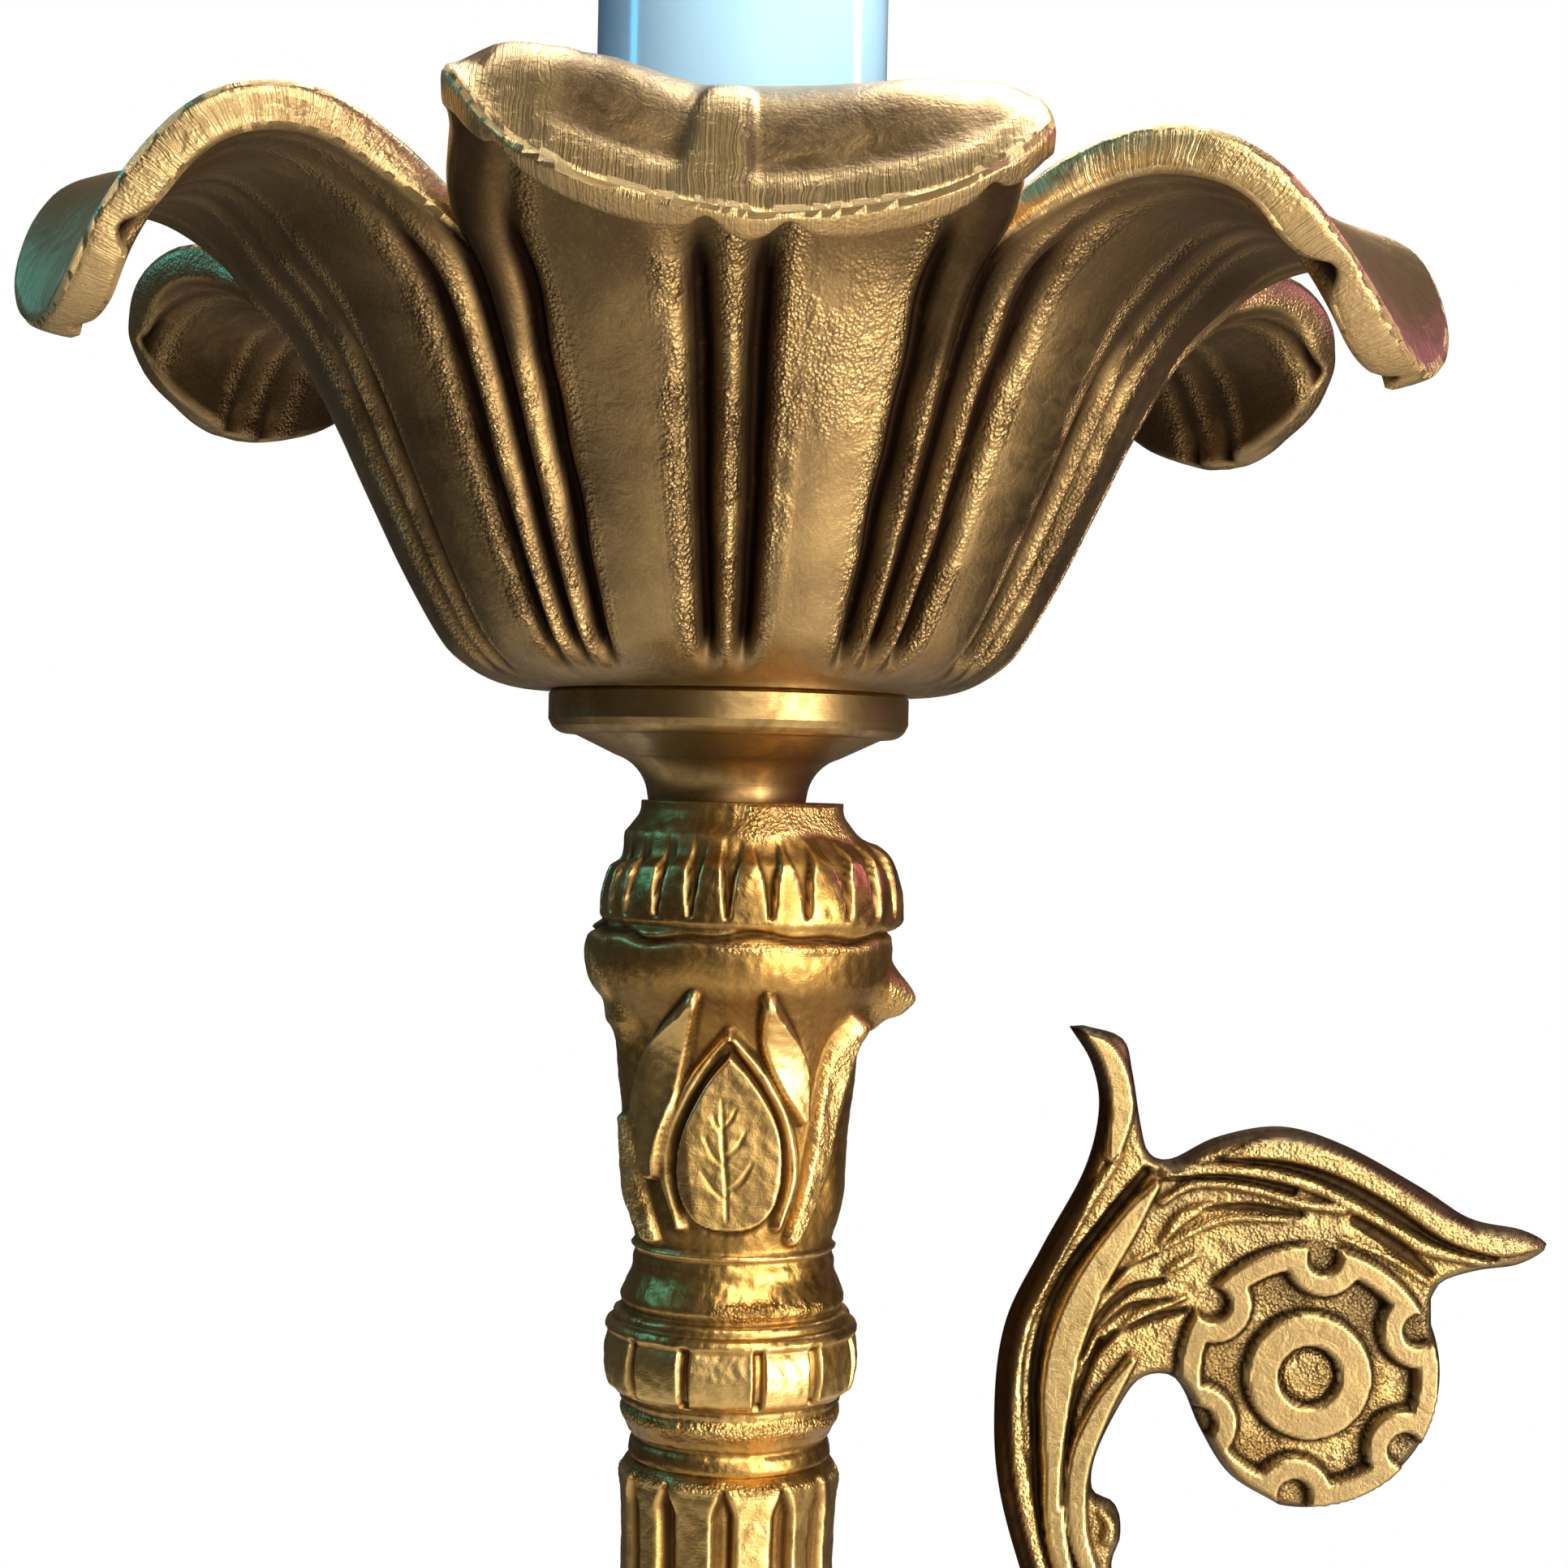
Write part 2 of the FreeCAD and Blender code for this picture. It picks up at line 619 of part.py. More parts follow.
def lily_cup():
    """The cast lily: a bowl with a groove at each petal's edge and midrib, and six petals."""
    floor = size("cup_floor")
    wall = size("cup_wall")
    hole = size("pricket_barrel_diameter") * 0.5
    bowl = turned("cup_bowl", [
        (hole, 0), (15.4, 0), (25.2, 4.8, -0.3), (27.2, 8.4, -0.06), (33.6, 21.4), (38.6, 30.6, 0.03),
        (38.6 - wall, 31.4), (33.6 - wall, 23.0, -0.03), (27.4 - wall, 10.4), (18.0, floor, 0.3),
        (hole, floor)], 0.0)
    turns = [360.0 / count("petal_count") * index - 90.0 for index in range(count("petal_count"))]
    first_petal = petal()
    petals = []
    for number, turn in enumerate(turns, start=1):
        leaf = doc.addObject("Part::Feature", "cup_petal_%d" % number)
        leaf.Shape = first_petal.rotated(Vector(0, 0, 0), Vector(0, 0, 1), turn)
        petals.append(leaf)
    grooves = doc.addObject("Part::Feature", "cup_grooves")
    start = Vector(25.9, 0, 5.2)
    run = Vector(38.8, 0, 31.4) - start
    groove = Part.makeCylinder(0.7, run.Length, start, run)
    grooves.Shape = Part.makeCompound(
        [groove.rotated(Vector(0, 0, 0), Vector(0, 0, 1), turn + side)
         for turn in turns for side in (-3.2, 3.2, 26.5, 30.0, 33.5)])
    pin_hole = doc.addObject("Part::Cylinder", "cup_pin_hole")
    pin_hole.setExpression("Radius", "Sizes.pin_diameter * 0.5")
    pin_hole.setExpression("Height", "Sizes.pin_length * 0.5")
    pin_hole.setExpression("Placement.Base.y", "Sizes.pin_circle_radius")
    whole = doc.addObject("Part::MultiFuse", "cup_blank")
    whole.Shapes = [bowl] + petals
    doc.recompute()
    drilled = doc.addObject("Part::Cut", "cup_drilled")
    drilled.Base = whole
    drilled.Tool = pin_hole
    cup = doc.addObject("Part::Cut", "lily_cup")
    cup.Base = drilled
    cup.Tool = grooves
    place(cup, z=cup_seat)
    doc.recompute()
    return cup


def locating_pin():
    pin = doc.addObject("Part::Cylinder", "locating_pin")
    pin.setExpression("Radius", "Sizes.pin_diameter * 0.5")
    pin.setExpression("Height", "Sizes.pin_length")
    place(pin, y=size("pin_circle_radius"), z=cup_seat - size("pin_length") * 0.5)
    return pin


def candle_socket():
    """The spun cup that holds the candle's foot."""
    inner = size("candle_diameter") * 0.5 + size("candle_fit")
    outer = inner + size("socket_wall")
    hole = size("pricket_barrel_diameter") * 0.5
    top = size("socket_height")
    floor = size("socket_floor")
    return turned("candle_socket", [
        (hole, 0), (outer - 1.2, 0), (outer, 1.2, -0.41), (outer, top - 1.4),
        (outer + 0.7, top - 0.7, -0.4), (outer, top, -0.4), (inner, top), (inner, floor),
        (hole, floor)], socket_seat)


def pricket():
    """The turned spike, flange and tapped barrel, in one piece."""
    flange = size("pricket_flange_thick")
    barrel = size("pricket_barrel_diameter") * 0.5
    depth = -(flange_seat - cup_seat) + 0.4
    spike = size("pricket_spike_diameter") * 0.5
    tip = flange + size("pricket_spike_height")
    return turned("pricket", [
        (rod_radius, depth), (barrel, depth), (barrel, 0), (size("pricket_flange_diameter") * 0.5, 0),
        (size("pricket_flange_diameter") * 0.5, flange), (spike, flange), (spike, flange + 8.0),
        (0.4, tip), (0, tip), (0, -0.6), (rod_radius, -0.6)], flange_seat)


def candle():
    """The candle, bored at its foot for the spike, with a hole for its wick."""
    radius = size("candle_diameter") * 0.5
    top = size("candle_length")
    rounding = size("candle_edge_round")
    bore = size("pricket_spike_diameter") * 0.5 + 0.3
    depth = size("pricket_spike_height") + 2.0
    wick = size("wick_diameter") * 0.5
    foot = top - size("wick_depth")
    return turned("candle", [
        (bore, 0), (radius - 0.6, 0), (radius, 0.6), (radius, top - rounding),
        (radius - rounding, top, -0.41), (wick, top), (wick, foot), (0, foot), (0, depth),
        (bore, depth - 4.0)], candle_seat)


def candle_wick():
    foot = size("candle_length") - size("wick_depth")
    radius = size("wick_diameter") * 0.5
    top = size("wick_length")
    return turned("candle_wick", [
        (0, 0), (radius, 0), (radius, top - 0.5), (radius - 0.4, top), (0, top)], candle_seat + foot)


# ---------------------------------------------------------------- rod and fasteners

crown_under = dome_seat + size("dome_height") - 7.0
base_washer_thick = 2.0
lock_washer_thick = 1.6
nut_height = 5.0
nut_across = 10.0
rod_stub = 3.5


def fasteners():
    """The washers and nut under the dome's crown, the rod, and the washer under the socket."""
    pieces = [
        washer("base_washer", hole_radius, 14.0, base_washer_thick, crown_under - base_washer_thick),
        lock_washer(crown_under - base_washer_thick - lock_washer_thick),
        base_nut(crown_under - base_washer_thick - lock_washer_thick - nut_height),
        washer("socket_washer", size("pricket_barrel_diameter") * 0.5, 12.0,
               size("socket_washer_thick"), socket_washer_seat)]
    foot = crown_under - base_washer_thick - lock_washer_thick - nut_height - rod_stub
    length = flange_seat - 0.6 - foot
    pieces.append(turned("tie_rod", [
        (0, 0), (rod_radius - 0.6, 0), (rod_radius, 0.6), (rod_radius, length), (0, length)], foot))
    return pieces


def lock_washer(seat):
    """A spring washer: a split ring of square section."""
    body = turned("lock_washer", [
        (hole_radius, 0), (5.4, 0), (5.4, lock_washer_thick), (hole_radius, lock_washer_thick)], seat)
    before = body.Shape.Volume
    sketch = new_sketch(body, "split_outline", "XZ_Plane")
    draw_outline(sketch, [(2.0, -1.0), (7.0, -1.0), (7.0, 3.0), (2.0, 3.0)])
    pocket = body.newObject("PartDesign::Pocket", "split")
    pocket.Profile = sketch
    pocket.Midplane = True
    pocket.Length = 0.8
    body.Tip = pocket
    doc.recompute()
    if body.Shape.Volume >= before:
        raise RuntimeError("the washer has no split")
    return body


def base_nut(seat):
    """The hexagon nut that draws the stack together."""
    body = new_body("base_nut")
    sketch = new_sketch(body, "nut_outline", "XY_Plane")
    corner = nut_across / math.sqrt(3.0)
    ring = [(corner * math.cos(math.radians(60 * index)), corner * math.sin(math.radians(60 * index)))
            for index in range(6)]
    draw_outline(sketch, ring)
    circle = sketch.addGeometry(Part.Circle(Vector(0, 0, 0), Vector(0, 0, 1), rod_radius.value), False)
    sketch.addConstraint(Sketcher.Constraint("Coincident", circle, 3, -1, 1))
    index = sketch.addConstraint(Sketcher.Constraint("Radius", circle, rod_radius.value))
    sketch.setExpression("Constraints[%d]" % index, rod_radius.text)
    pad = body.newObject("PartDesign::Pad", "nut_body")
    pad.Profile = sketch
    pad.Length = nut_height
    body.Tip = pad
    place(body, z=seat)
    doc.recompute()
    return body


def on_foot_circle(label, outline, seat):
    """Turns one piece per foot and groups the three."""
    circle = size("foot_circle_radius")
    copies = []
    for number, angle in enumerate(foot_angles, start=1):
        piece = turned("%s_%d" % (label, number), outline, seat)
        turn = math.radians(angle)
        place(piece, x=circle * math.cos(turn), y=circle * math.sin(turn), z=seat)
        copies.append(piece)
    group = doc.addObject("Part::Compound", label)
    group.Links = copies
    return group


def feet():
    """The three bun feet with their screws and felt pads."""
    pad = size("pad_thick")
    top = size("foot_height") - pad
    radius = size("foot_radius")
    head_room = screw_head_radius + 0.4
    head_clear = 0.8
    head_seat = screw_head_height + head_clear
    balls = on_foot_circle("foot_balls", [
        (head_room, 0), (radius - 2.6, 0), (radius, 0.45 * top, -0.35), (radius - 3.0, 0.86 * top, -0.3),
        (radius - 2.6, top), (screw_radius, top), (screw_radius, head_seat), (head_room, head_seat)],
        pad)
    length = top + moulding_top + (screw_reach - head_clear)
    screws = on_foot_circle("foot_screws", [
        (0, 0), (screw_head_radius - 0.6, 0), (screw_head_radius, 0.6),
        (screw_head_radius, screw_head_height), (screw_radius, screw_head_height),
        (screw_radius, length), (0, length)], pad + head_clear)
    pads = on_foot_circle("felt_pads", [
        (0, 0), (size("pad_radius"), 0), (size("pad_radius"), pad), (0, pad)], 0.0)
    return [balls, screws, pads]


# ---------------------------------------------------------------- build, check and write

def main():
    parts = [base_moulding(), base_dome(), base_neck(), lower_knop(), ring_spool(), ring_washers(),
             arm_ring(), arm_rivets(), fluted_shaft(), upper_stem(), scroll_arm(), cup_collar(),
             lily_cup(), locating_pin(), candle_socket(), pricket(), candle(), candle_wick()]
    parts += fasteners()
    parts += feet()
    doc.recompute()
    for thing in doc.Objects:
        if "Invalid" in thing.State or "Error" in thing.State:
            raise RuntimeError("%s failed: %s" % (thing.Name, thing.State))
    for part in parts:
        if part.Shape.isNull() or not part.Shape.isValid() or not part.Shape.Solids:
            raise RuntimeError(part.Label + " is not a valid solid")
    os.makedirs("parts", exist_ok=True)
    for part in parts:
        part.Shape.exportStep("parts/%s.step" % part.Label)
        print("%-16s %2d solid(s) %9.1f mm3" % (part.Label, len(part.Shape.Solids), part.Shape.Volume))


main()
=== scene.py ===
import math

import bmesh
import bpy
import numpy as np
from mathutils import Matrix, Vector


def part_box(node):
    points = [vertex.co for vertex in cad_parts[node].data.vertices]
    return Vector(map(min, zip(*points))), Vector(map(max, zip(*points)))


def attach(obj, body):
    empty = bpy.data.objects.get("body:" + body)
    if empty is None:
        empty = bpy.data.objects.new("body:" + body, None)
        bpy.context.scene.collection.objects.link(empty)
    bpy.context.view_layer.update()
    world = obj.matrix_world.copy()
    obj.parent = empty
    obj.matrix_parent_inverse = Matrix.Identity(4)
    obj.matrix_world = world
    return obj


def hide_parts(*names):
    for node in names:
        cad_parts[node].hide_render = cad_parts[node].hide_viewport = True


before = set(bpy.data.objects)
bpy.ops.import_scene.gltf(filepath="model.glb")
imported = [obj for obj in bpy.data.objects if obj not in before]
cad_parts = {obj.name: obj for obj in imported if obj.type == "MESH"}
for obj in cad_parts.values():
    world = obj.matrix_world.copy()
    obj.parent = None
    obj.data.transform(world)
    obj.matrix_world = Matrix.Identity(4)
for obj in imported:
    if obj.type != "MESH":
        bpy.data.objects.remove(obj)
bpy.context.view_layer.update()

MM = 0.001

# ---------------------------------------------------------------- places, from the frame

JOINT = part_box("cup_collar")[0][2] / MM       # height of the joint between cup and stem, mm
stem_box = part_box("fluted_shaft")
SHAFT_LOW = stem_box[0][2] / MM               # underside of the fluted shaft
# the cast stem stands a little off the rod's axis
STEM_X = 0.5 * (stem_box[0][0] + stem_box[1][0]) / MM - 0.35


# ---------------------------------------------------------------- small maths

def ramp(value, low, high):
    """0 below low, 1 above high, smooth between. Works on arrays, and downwards if high < low."""
    part = np.clip((value - low) / (high - low), 0.0, 1.0)
    return part * part * (3.0 - 2.0 * part)


def ridge(value, width):
    """A bell of height 1 about zero."""
    return np.exp(-(value / width) ** 2)


def arc(degrees, radius):
    """The length of an arc."""
    return degrees * math.pi / 180.0 * radius


def smooth_noise(points, scale, seed, octaves=3):
    """Cheap repeatable noise in -1..1 at (n, 3) points: a few crossed sine waves per octave."""
    local = np.random.default_rng(seed)
    total = np.zeros(len(points))
    weight = 1.0
    for _ in range(octaves):
        for _ in range(4):
            direction = local.normal(size=3)
            direction /= np.linalg.norm(direction)
            total += weight * np.sin(points @ direction * (6.2832 / scale) + local.uniform(0, 6.28)) / 4.0
        scale *= 0.5
        weight *= 0.6
    return total / 1.3


def curve_through(knots, samples):
    """A smooth curve through knots, evenly spaced along its length: places and the length."""
    knots = np.array(knots, dtype=float)
    padded = np.vstack([2 * knots[0] - knots[1], knots, 2 * knots[-1] - knots[-2]])
    pieces = []
    for index in range(1, len(padded) - 2):
        p0, p1, p2, p3 = padded[index - 1:index + 3]
        t = np.linspace(0, 1, 24, endpoint=False)[:, None]
        pieces.append(0.5 * (2 * p1 + (p2 - p0) * t + (2 * p0 - 5 * p1 + 4 * p2 - p3) * t ** 2
                             + (3 * p1 - p0 - 3 * p2 + p3) * t ** 3))
    pieces.append(knots[-1][None, :])
    dense = np.vstack(pieces)
    travel = np.concatenate([[0], np.cumsum(np.linalg.norm(np.diff(dense[:, :2], axis=0), axis=1))])
    even = np.linspace(0, travel[-1], samples)
    columns = [np.interp(even, travel, dense[:, axis]) for axis in range(dense.shape[1])]
    return np.column_stack(columns), travel[-1]


def stroke(stations, spacing=0.7):
    """A smooth curve through stations, with a place about every spacing along it."""
    chords = np.diff(np.array(stations)[:, :2], axis=0)
    return curve_through(stations, 4 + int(np.hypot(*chords.T).sum() / spacing))[0]


# ---------------------------------------------------------------- meshes

def make_mesh(name, points, faces, marks, body, material, replaced=()):
    """One piece from points in mm. marks are per-point 0..1 values that the materials read."""
    mesh = bpy.data.meshes.new(name)
    mesh.from_pydata([tuple(point) for point in np.asarray(points) * MM], [], faces)
    mesh.update()
    for mark, values in marks.items():
        layer = mesh.attributes.new(mark, "FLOAT", "POINT")
        layer.data.foreach_set("value", np.asarray(values, dtype=np.float32))
    mesh.polygons.foreach_set("use_smooth", [True] * len(mesh.polygons))
    piece = bpy.data.objects.new(name, mesh)
    bpy.context.scene.collection.objects.link(piece)
    mesh.materials.append(material)
    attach(piece, body)
    if replaced:
        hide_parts(*replaced)
    return piece


def grid_faces(rows, columns, first=0, wrap=False, flip=False):
    """Quads of a rows x columns grid of points that starts at index first."""
    faces = []
    last = columns if wrap else columns - 1
    for row in range(rows - 1):
        for column in range(last):
            a = first + row * columns + column
            b = first + row * columns + (column + 1) % columns
            c = b + columns
            d = a + columns
            faces.append((a, d, c, b) if flip else (a, b, c, d))
    return faces


def weld(piece, reach, bridge=False):
    """Joins points that lie on each other, bridges open rims if asked and turns every face outwards."""
    work = bmesh.new()
    work.from_mesh(piece.data)
    bmesh.ops.remove_doubles(work, verts=work.verts, dist=reach * MM)
    if bridge:
        bmesh.ops.bridge_loops(work, edges=[edge for edge in work.edges if edge.is_boundary])
    bmesh.ops.recalc_face_normals(work, faces=work.faces)
    work.to_mesh(piece.data)
    work.free()
    return piece


def raise_mark(marks, name, share):
    """Raises one of a piece's marks to at least share."""
    marks[name] = np.maximum(marks[name], share)


# ---------------------------------------------------------------- materials

class Shader:
    """A short way to write a material's nodes: each call adds one node and returns its output."""

    def __init__(self, name):
        self.material = bpy.data.materials.new(name)
        self.material.use_nodes = True
        self.tree = self.material.node_tree
        self.tree.nodes.clear()
        self.principled = self.node("BsdfPrincipled", {})
        self.node("OutputMaterial", {"Surface": self.principled.outputs[0]})
        place = self.node("TexCoord", {})
        scaled = self.node("VectorMath", {0: place.outputs["Object"], "Scale": 1000.0}, operation="SCALE")
        self.millimetres = scaled.outputs[0]

    def feed(self, socket, value):
        if hasattr(value, "links"):
            self.tree.links.new(value, socket)
        else:
            socket.default_value = value

    def node(self, kind, inputs, **settings):
        """Adds a node with its settings and feeds its inputs, which go by name or by number."""
        node = self.tree.nodes.new("ShaderNode" + kind)
        for name, value in settings.items():
            setattr(node, name, value)
        for place, value in inputs.items():
            self.feed(node.inputs[place], value)
        return node

    def mark(self, name):
        """A per-point value of the mesh; zero on a mesh that has none."""
        return self.node("Attribute", {}, attribute_name=name).outputs["Fac"]

    def plus(self, first, second):
        return self.node("Math", {0: first, 1: second}, operation="ADD").outputs[0]

    def times(self, first, second, clamp=False):
        return self.node("Math", {0: first, 1: second}, operation="MULTIPLY", use_clamp=clamp).outputs[0]

    def stretch(self, vector, across, along, up):
        return self.node("VectorMath", {0: vector, 1: (across, along, up)}, operation="MULTIPLY").outputs[0]

    def noise(self, scale, detail=3.0, rough=0.55, warp=0.0, vector=None):
        """Noise with about scale features to the millimetre."""
        inputs = {"Vector": vector or self.millimetres, "Scale": scale, "Detail": detail, "Roughness": rough,
                  "Distortion": warp}
        return self.node("TexNoise", inputs).outputs["Fac"]

    def streaks(self, run, per_mm, seed):
        """Parallel marks across the direction that run counts along."""
        place = self.plus(self.plus(run, self.times(self.noise(0.35, 2.0), 0.9)), seed)
        inputs = {"W": place, "Scale": per_mm, "Detail": 3.0, "Roughness": 0.7}
        return self.node("TexNoise", inputs, noise_dimensions="1D").outputs["Fac"]

    def cells(self, scale):
        inputs = {"Vector": self.millimetres, "Scale": scale, "Randomness": 1.0}
        return self.node("TexVoronoi", inputs, feature="F1").outputs["Distance"]

    def span(self, value, low, high, to_low=0.0, to_high=1.0):
        inputs = {"Value": value, "From Min": low, "From Max": high, "To Min": to_low, "To Max": to_high}
        return self.node("MapRange", inputs, interpolation_type="SMOOTHSTEP").outputs["Result"]

    def blend(self, share, first, second):
        """Mixes two colours, or two numbers."""
        pair = [(*value, 1.0) if isinstance(value, tuple) else value for value in (first, second)]
        colours = any(isinstance(value, tuple) or getattr(value, "type", "") == "RGBA" for value in pair)
        place = 6 if colours else 2
        inputs = {0: share, place: pair[0], place + 1: pair[1]}
        node = self.node("Mix", inputs, data_type="RGBA" if colours else "FLOAT")
        return node.outputs[2 if colours else 0]

    def bump(self, height, distance_mm, strength):
        inputs = {"Strength": strength, "Distance": distance_mm * MM, "Height": height}
        return self.node("Bump", inputs).outputs["Normal"]

    def finish(self, colour, rough, normal, metallic=1.0):
        surface = {"Base Color": colour, "Roughness": rough, "Normal": normal, "Metallic": metallic}
        for place, value in surface.items():
            self.feed(self.principled.inputs[place], value)
        return self.material


def cast_brass(name, bright, plain, dull, grime_and_shade_colour, filing=1.0, grime_and_shade_share=1.0):
    """Aged cast brass. bright is a filed or rubbed face, plain the everyday surface, dull the smooth
    brown patina and the fourth colour the dark of the hollows and of painted shade. The mesh's marks say
    where each lies."""
    s = Shader(name)
    grime_and_shade = s.mark("grime_and_shade")
    sandy = s.times(s.mark("sandy"), s.span(s.noise(0.16, 3.0, 0.6, 0.5), 0.36, 0.56, 0.25, 1.0))
    filed = s.mark("filed")
    patina = s.mark("dull")
    wear = s.mark("wear")
    run = s.mark("run")
    clouds = s.noise(0.09, 4.0, 0.6, 0.6)
    blotch = s.noise(0.45, 4.0, 0.65, 0.8)
    fine = s.noise(3.2, 3.0, 0.7)
    speck = s.cells(3.4)
    lines = s.streaks(run, 5.6, 3.0)
    faint = s.streaks(run, 5.5, 11.0)
    # colour
    ground = s.blend(s.span(clouds, 0.35, 0.7), plain, dull)
    ground = s.blend(s.times(patina, s.span(blotch, 0.1, 0.75), clamp=True), ground, dull)
    ground = s.blend(s.times(s.span(fine, 0.52, 0.75), 0.25), ground, bright)
    # painted glints: bright specks of the bright colour on the sandy parts
    glint = s.times(sandy, s.span(speck, 0.5, 0.14))
    ground = s.blend(s.times(glint, 0.85), ground, bright)
    ground = s.blend(s.times(wear, s.span(blotch, 0.25, 0.55)), ground, bright)
    marked = s.span(lines, 0.34, 0.66, 0.70 - 0.35 * filing, 0.80 + 0.1 * filing)
    filed_tone = s.blend(marked, plain, bright)
    filed_here = s.times(filed, s.span(s.plus(blotch, s.times(lines, 0.5)), 0.35, 0.6))
    ground = s.blend(filed_here, ground, filed_tone)
    # darkens towards the hollows' colour: the hollows, and painted shade under the cup's lips, beside its
    # front petal and on the scroll's side walls
    grime_and_shade_amount = s.times(grime_and_shade, s.span(blotch, 0.05, 0.45, 0.7 * grime_and_shade_share, grime_and_shade_share), clamp=True)
    ground = s.blend(grime_and_shade_amount, ground, grime_and_shade_colour)
    # roughness
    rough = s.span(blotch, 0.25, 0.75, 0.27, 0.42)
    rough = s.blend(patina, rough, s.span(blotch, 0.25, 0.75, 0.36, 0.5))
    rough = s.blend(sandy, rough, 0.38)
    rough = s.blend(filed, rough, s.span(lines, 0.35, 0.65, 0.30 + 0.12 * filing, 0.30 - 0.06 * filing))
    rough = s.blend(grime_and_shade, rough, 0.62)
    # relief too fine for the mesh
    height = s.times(s.times(sandy, speck), 0.34)
    height = s.plus(height, s.times(s.times(sandy, s.noise(1.4, 4.0, 0.7)), 0.6))
    height = s.plus(height, s.times(fine, 0.035))
    height = s.plus(height, s.times(blotch, 0.10))
    scratch = s.plus(s.times(lines, 0.09 * filing), s.times(faint, 0.02 + 0.04 * filing))
    cut = s.times(filed, scratch)
    height = s.plus(height, cut)
    return s.finish(ground, rough, s.bump(height, 1.0, 0.75))


def turned_brass(name, bright, dull):
    """Lathe-turned brass: fine rings round the axis and a soft tarnish."""
    s = Shader(name)
    flat = s.stretch(s.millimetres, 0.02, 0.02, 1.0)
    rings = s.noise(5.0, 4.0, 0.7, 0.0, flat)
    blotch = s.noise(0.35, 4.0, 0.65, 0.7)
    fine = s.noise(4.0, 3.0, 0.7)
    colour = s.blend(s.span(blotch, 0.3, 0.7), bright, dull)
    colour = s.blend(s.times(s.span(rings, 0.45, 0.7), 0.35), colour, dull)
    rough = s.plus(s.span(blotch, 0.25, 0.75, 0.26, 0.42), s.times(rings, 0.08))
    height = s.plus(s.times(rings, 0.02), s.times(fine, 0.012))
    return s.finish(colour, rough, s.bump(height, 1.0, 0.7))


def plain_material(name, colour, shade, rough, scale, metallic=0.0, depth=0.02):
    """A simple finish with colour and relief that vary: steel, felt, wick."""
    s = Shader(name)
    spots = s.noise(scale, 4.0, 0.65, 0.4)
    tone = s.blend(s.span(spots, 0.3, 0.7), colour, shade)
    gloss = s.span(spots, 0.3, 0.7, rough, min(1.0, rough + 0.15))
    return s.finish(tone, gloss, s.bump(spots, depth, 1.0), metallic)


def candle_wax():
    """Glossy white wax, its colour painted pale blue for the cold light on it, with a faint depth."""
    s = Shader("candle_wax")
    clouds = s.noise(0.05, 3.0, 0.5)
    # painted cold light: the white wax is given a pale blue colour
    colour = s.blend(s.span(clouds, 0.3, 0.7), (0.38, 0.67, 0.94), (0.43, 0.70, 0.95))
    dimple = s.noise(0.25, 2.0, 0.5)
    wax = s.finish(colour, 0.16, s.bump(dimple, 0.12, 0.5), 0.0)
    s.principled.inputs["Subsurface Weight"].default_value = 0.25
    s.principled.inputs["Subsurface Radius"].default_value = (0.004, 0.003, 0.0025)
    s.principled.inputs["Coat Weight"].default_value = 0.4
    s.principled.inputs["Coat Roughness"].default_value = 0.08
    return wax


CUP_BRASS = cast_brass("cup_brass", (0.72, 0.50, 0.235), (0.41, 0.27, 0.115), (0.215, 0.136, 0.062),
                       (0.022, 0.011, 0.006), 0.8)
STEM_BRASS = cast_brass("stem_brass", (0.82, 0.55, 0.21), (0.54, 0.315, 0.085), (0.28, 0.15, 0.045),
                        (0.045, 0.018, 0.006), 0.15, 0.85)
SCROLL_BRASS = cast_brass("scroll_brass", (0.64, 0.45, 0.19), (0.48, 0.31, 0.11), (0.235, 0.17, 0.086),
                          (0.030, 0.014, 0.006), 0.12, 0.95)
TURNED_BRASS = turned_brass("turned_brass", (0.46, 0.31, 0.125), (0.24, 0.15, 0.06))
STEEL = plain_material("zinc_steel", (0.42, 0.42, 0.42), (0.28, 0.27, 0.26), 0.35, 1.5, 1.0)
FELT = plain_material("green_felt", (0.012, 0.05, 0.025), (0.03, 0.09, 0.05), 0.9, 2.5, 0.0, 0.15)
WICK = plain_material("cotton_wick", (0.75, 0.70, 0.60), (0.55, 0.50, 0.42), 0.85, 3.0, 0.0, 0.1)
WAX = candle_wax()

CARRIED = {
    TURNED_BRASS: ["cup_collar", "base_neck", "base_moulding", "arm_ring", "ring_spool", "ring_washers",
                   "foot_balls", "candle_socket", "pricket", "arm_rivets"],
    STEEL: ["tie_rod", "base_washer", "lock_washer", "base_nut", "socket_washer", "locating_pin",
            "foot_screws"],
    FELT: ["felt_pads"],
    WICK: ["candle_wick"],
    WAX: ["candle"],
}


def dress_carried_nodes():
    """Gives the pieces that keep their own meshes their materials."""
    for material, names in CARRIED.items():
        for name in names:
            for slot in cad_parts[name].material_slots:
                slot.material = material


dress_carried_nodes()


# ---------------------------------------------------------------- lily cup

# the underside along a petal's midrib: radius, height over the joint
CUP_LINE = [(13.0, 9.35), (15.6, 9.35), (18.6, 9.5), (21.3, 10.4), (23.3, 12.0), (24.9, 14.0),
            (26.9, 17.4), (28.6, 20.6), (30.2, 23.9), (31.8, 27.2), (33.5, 30.8), (35.5, 34.6),
            (37.8, 38.4), (40.6, 41.3)]
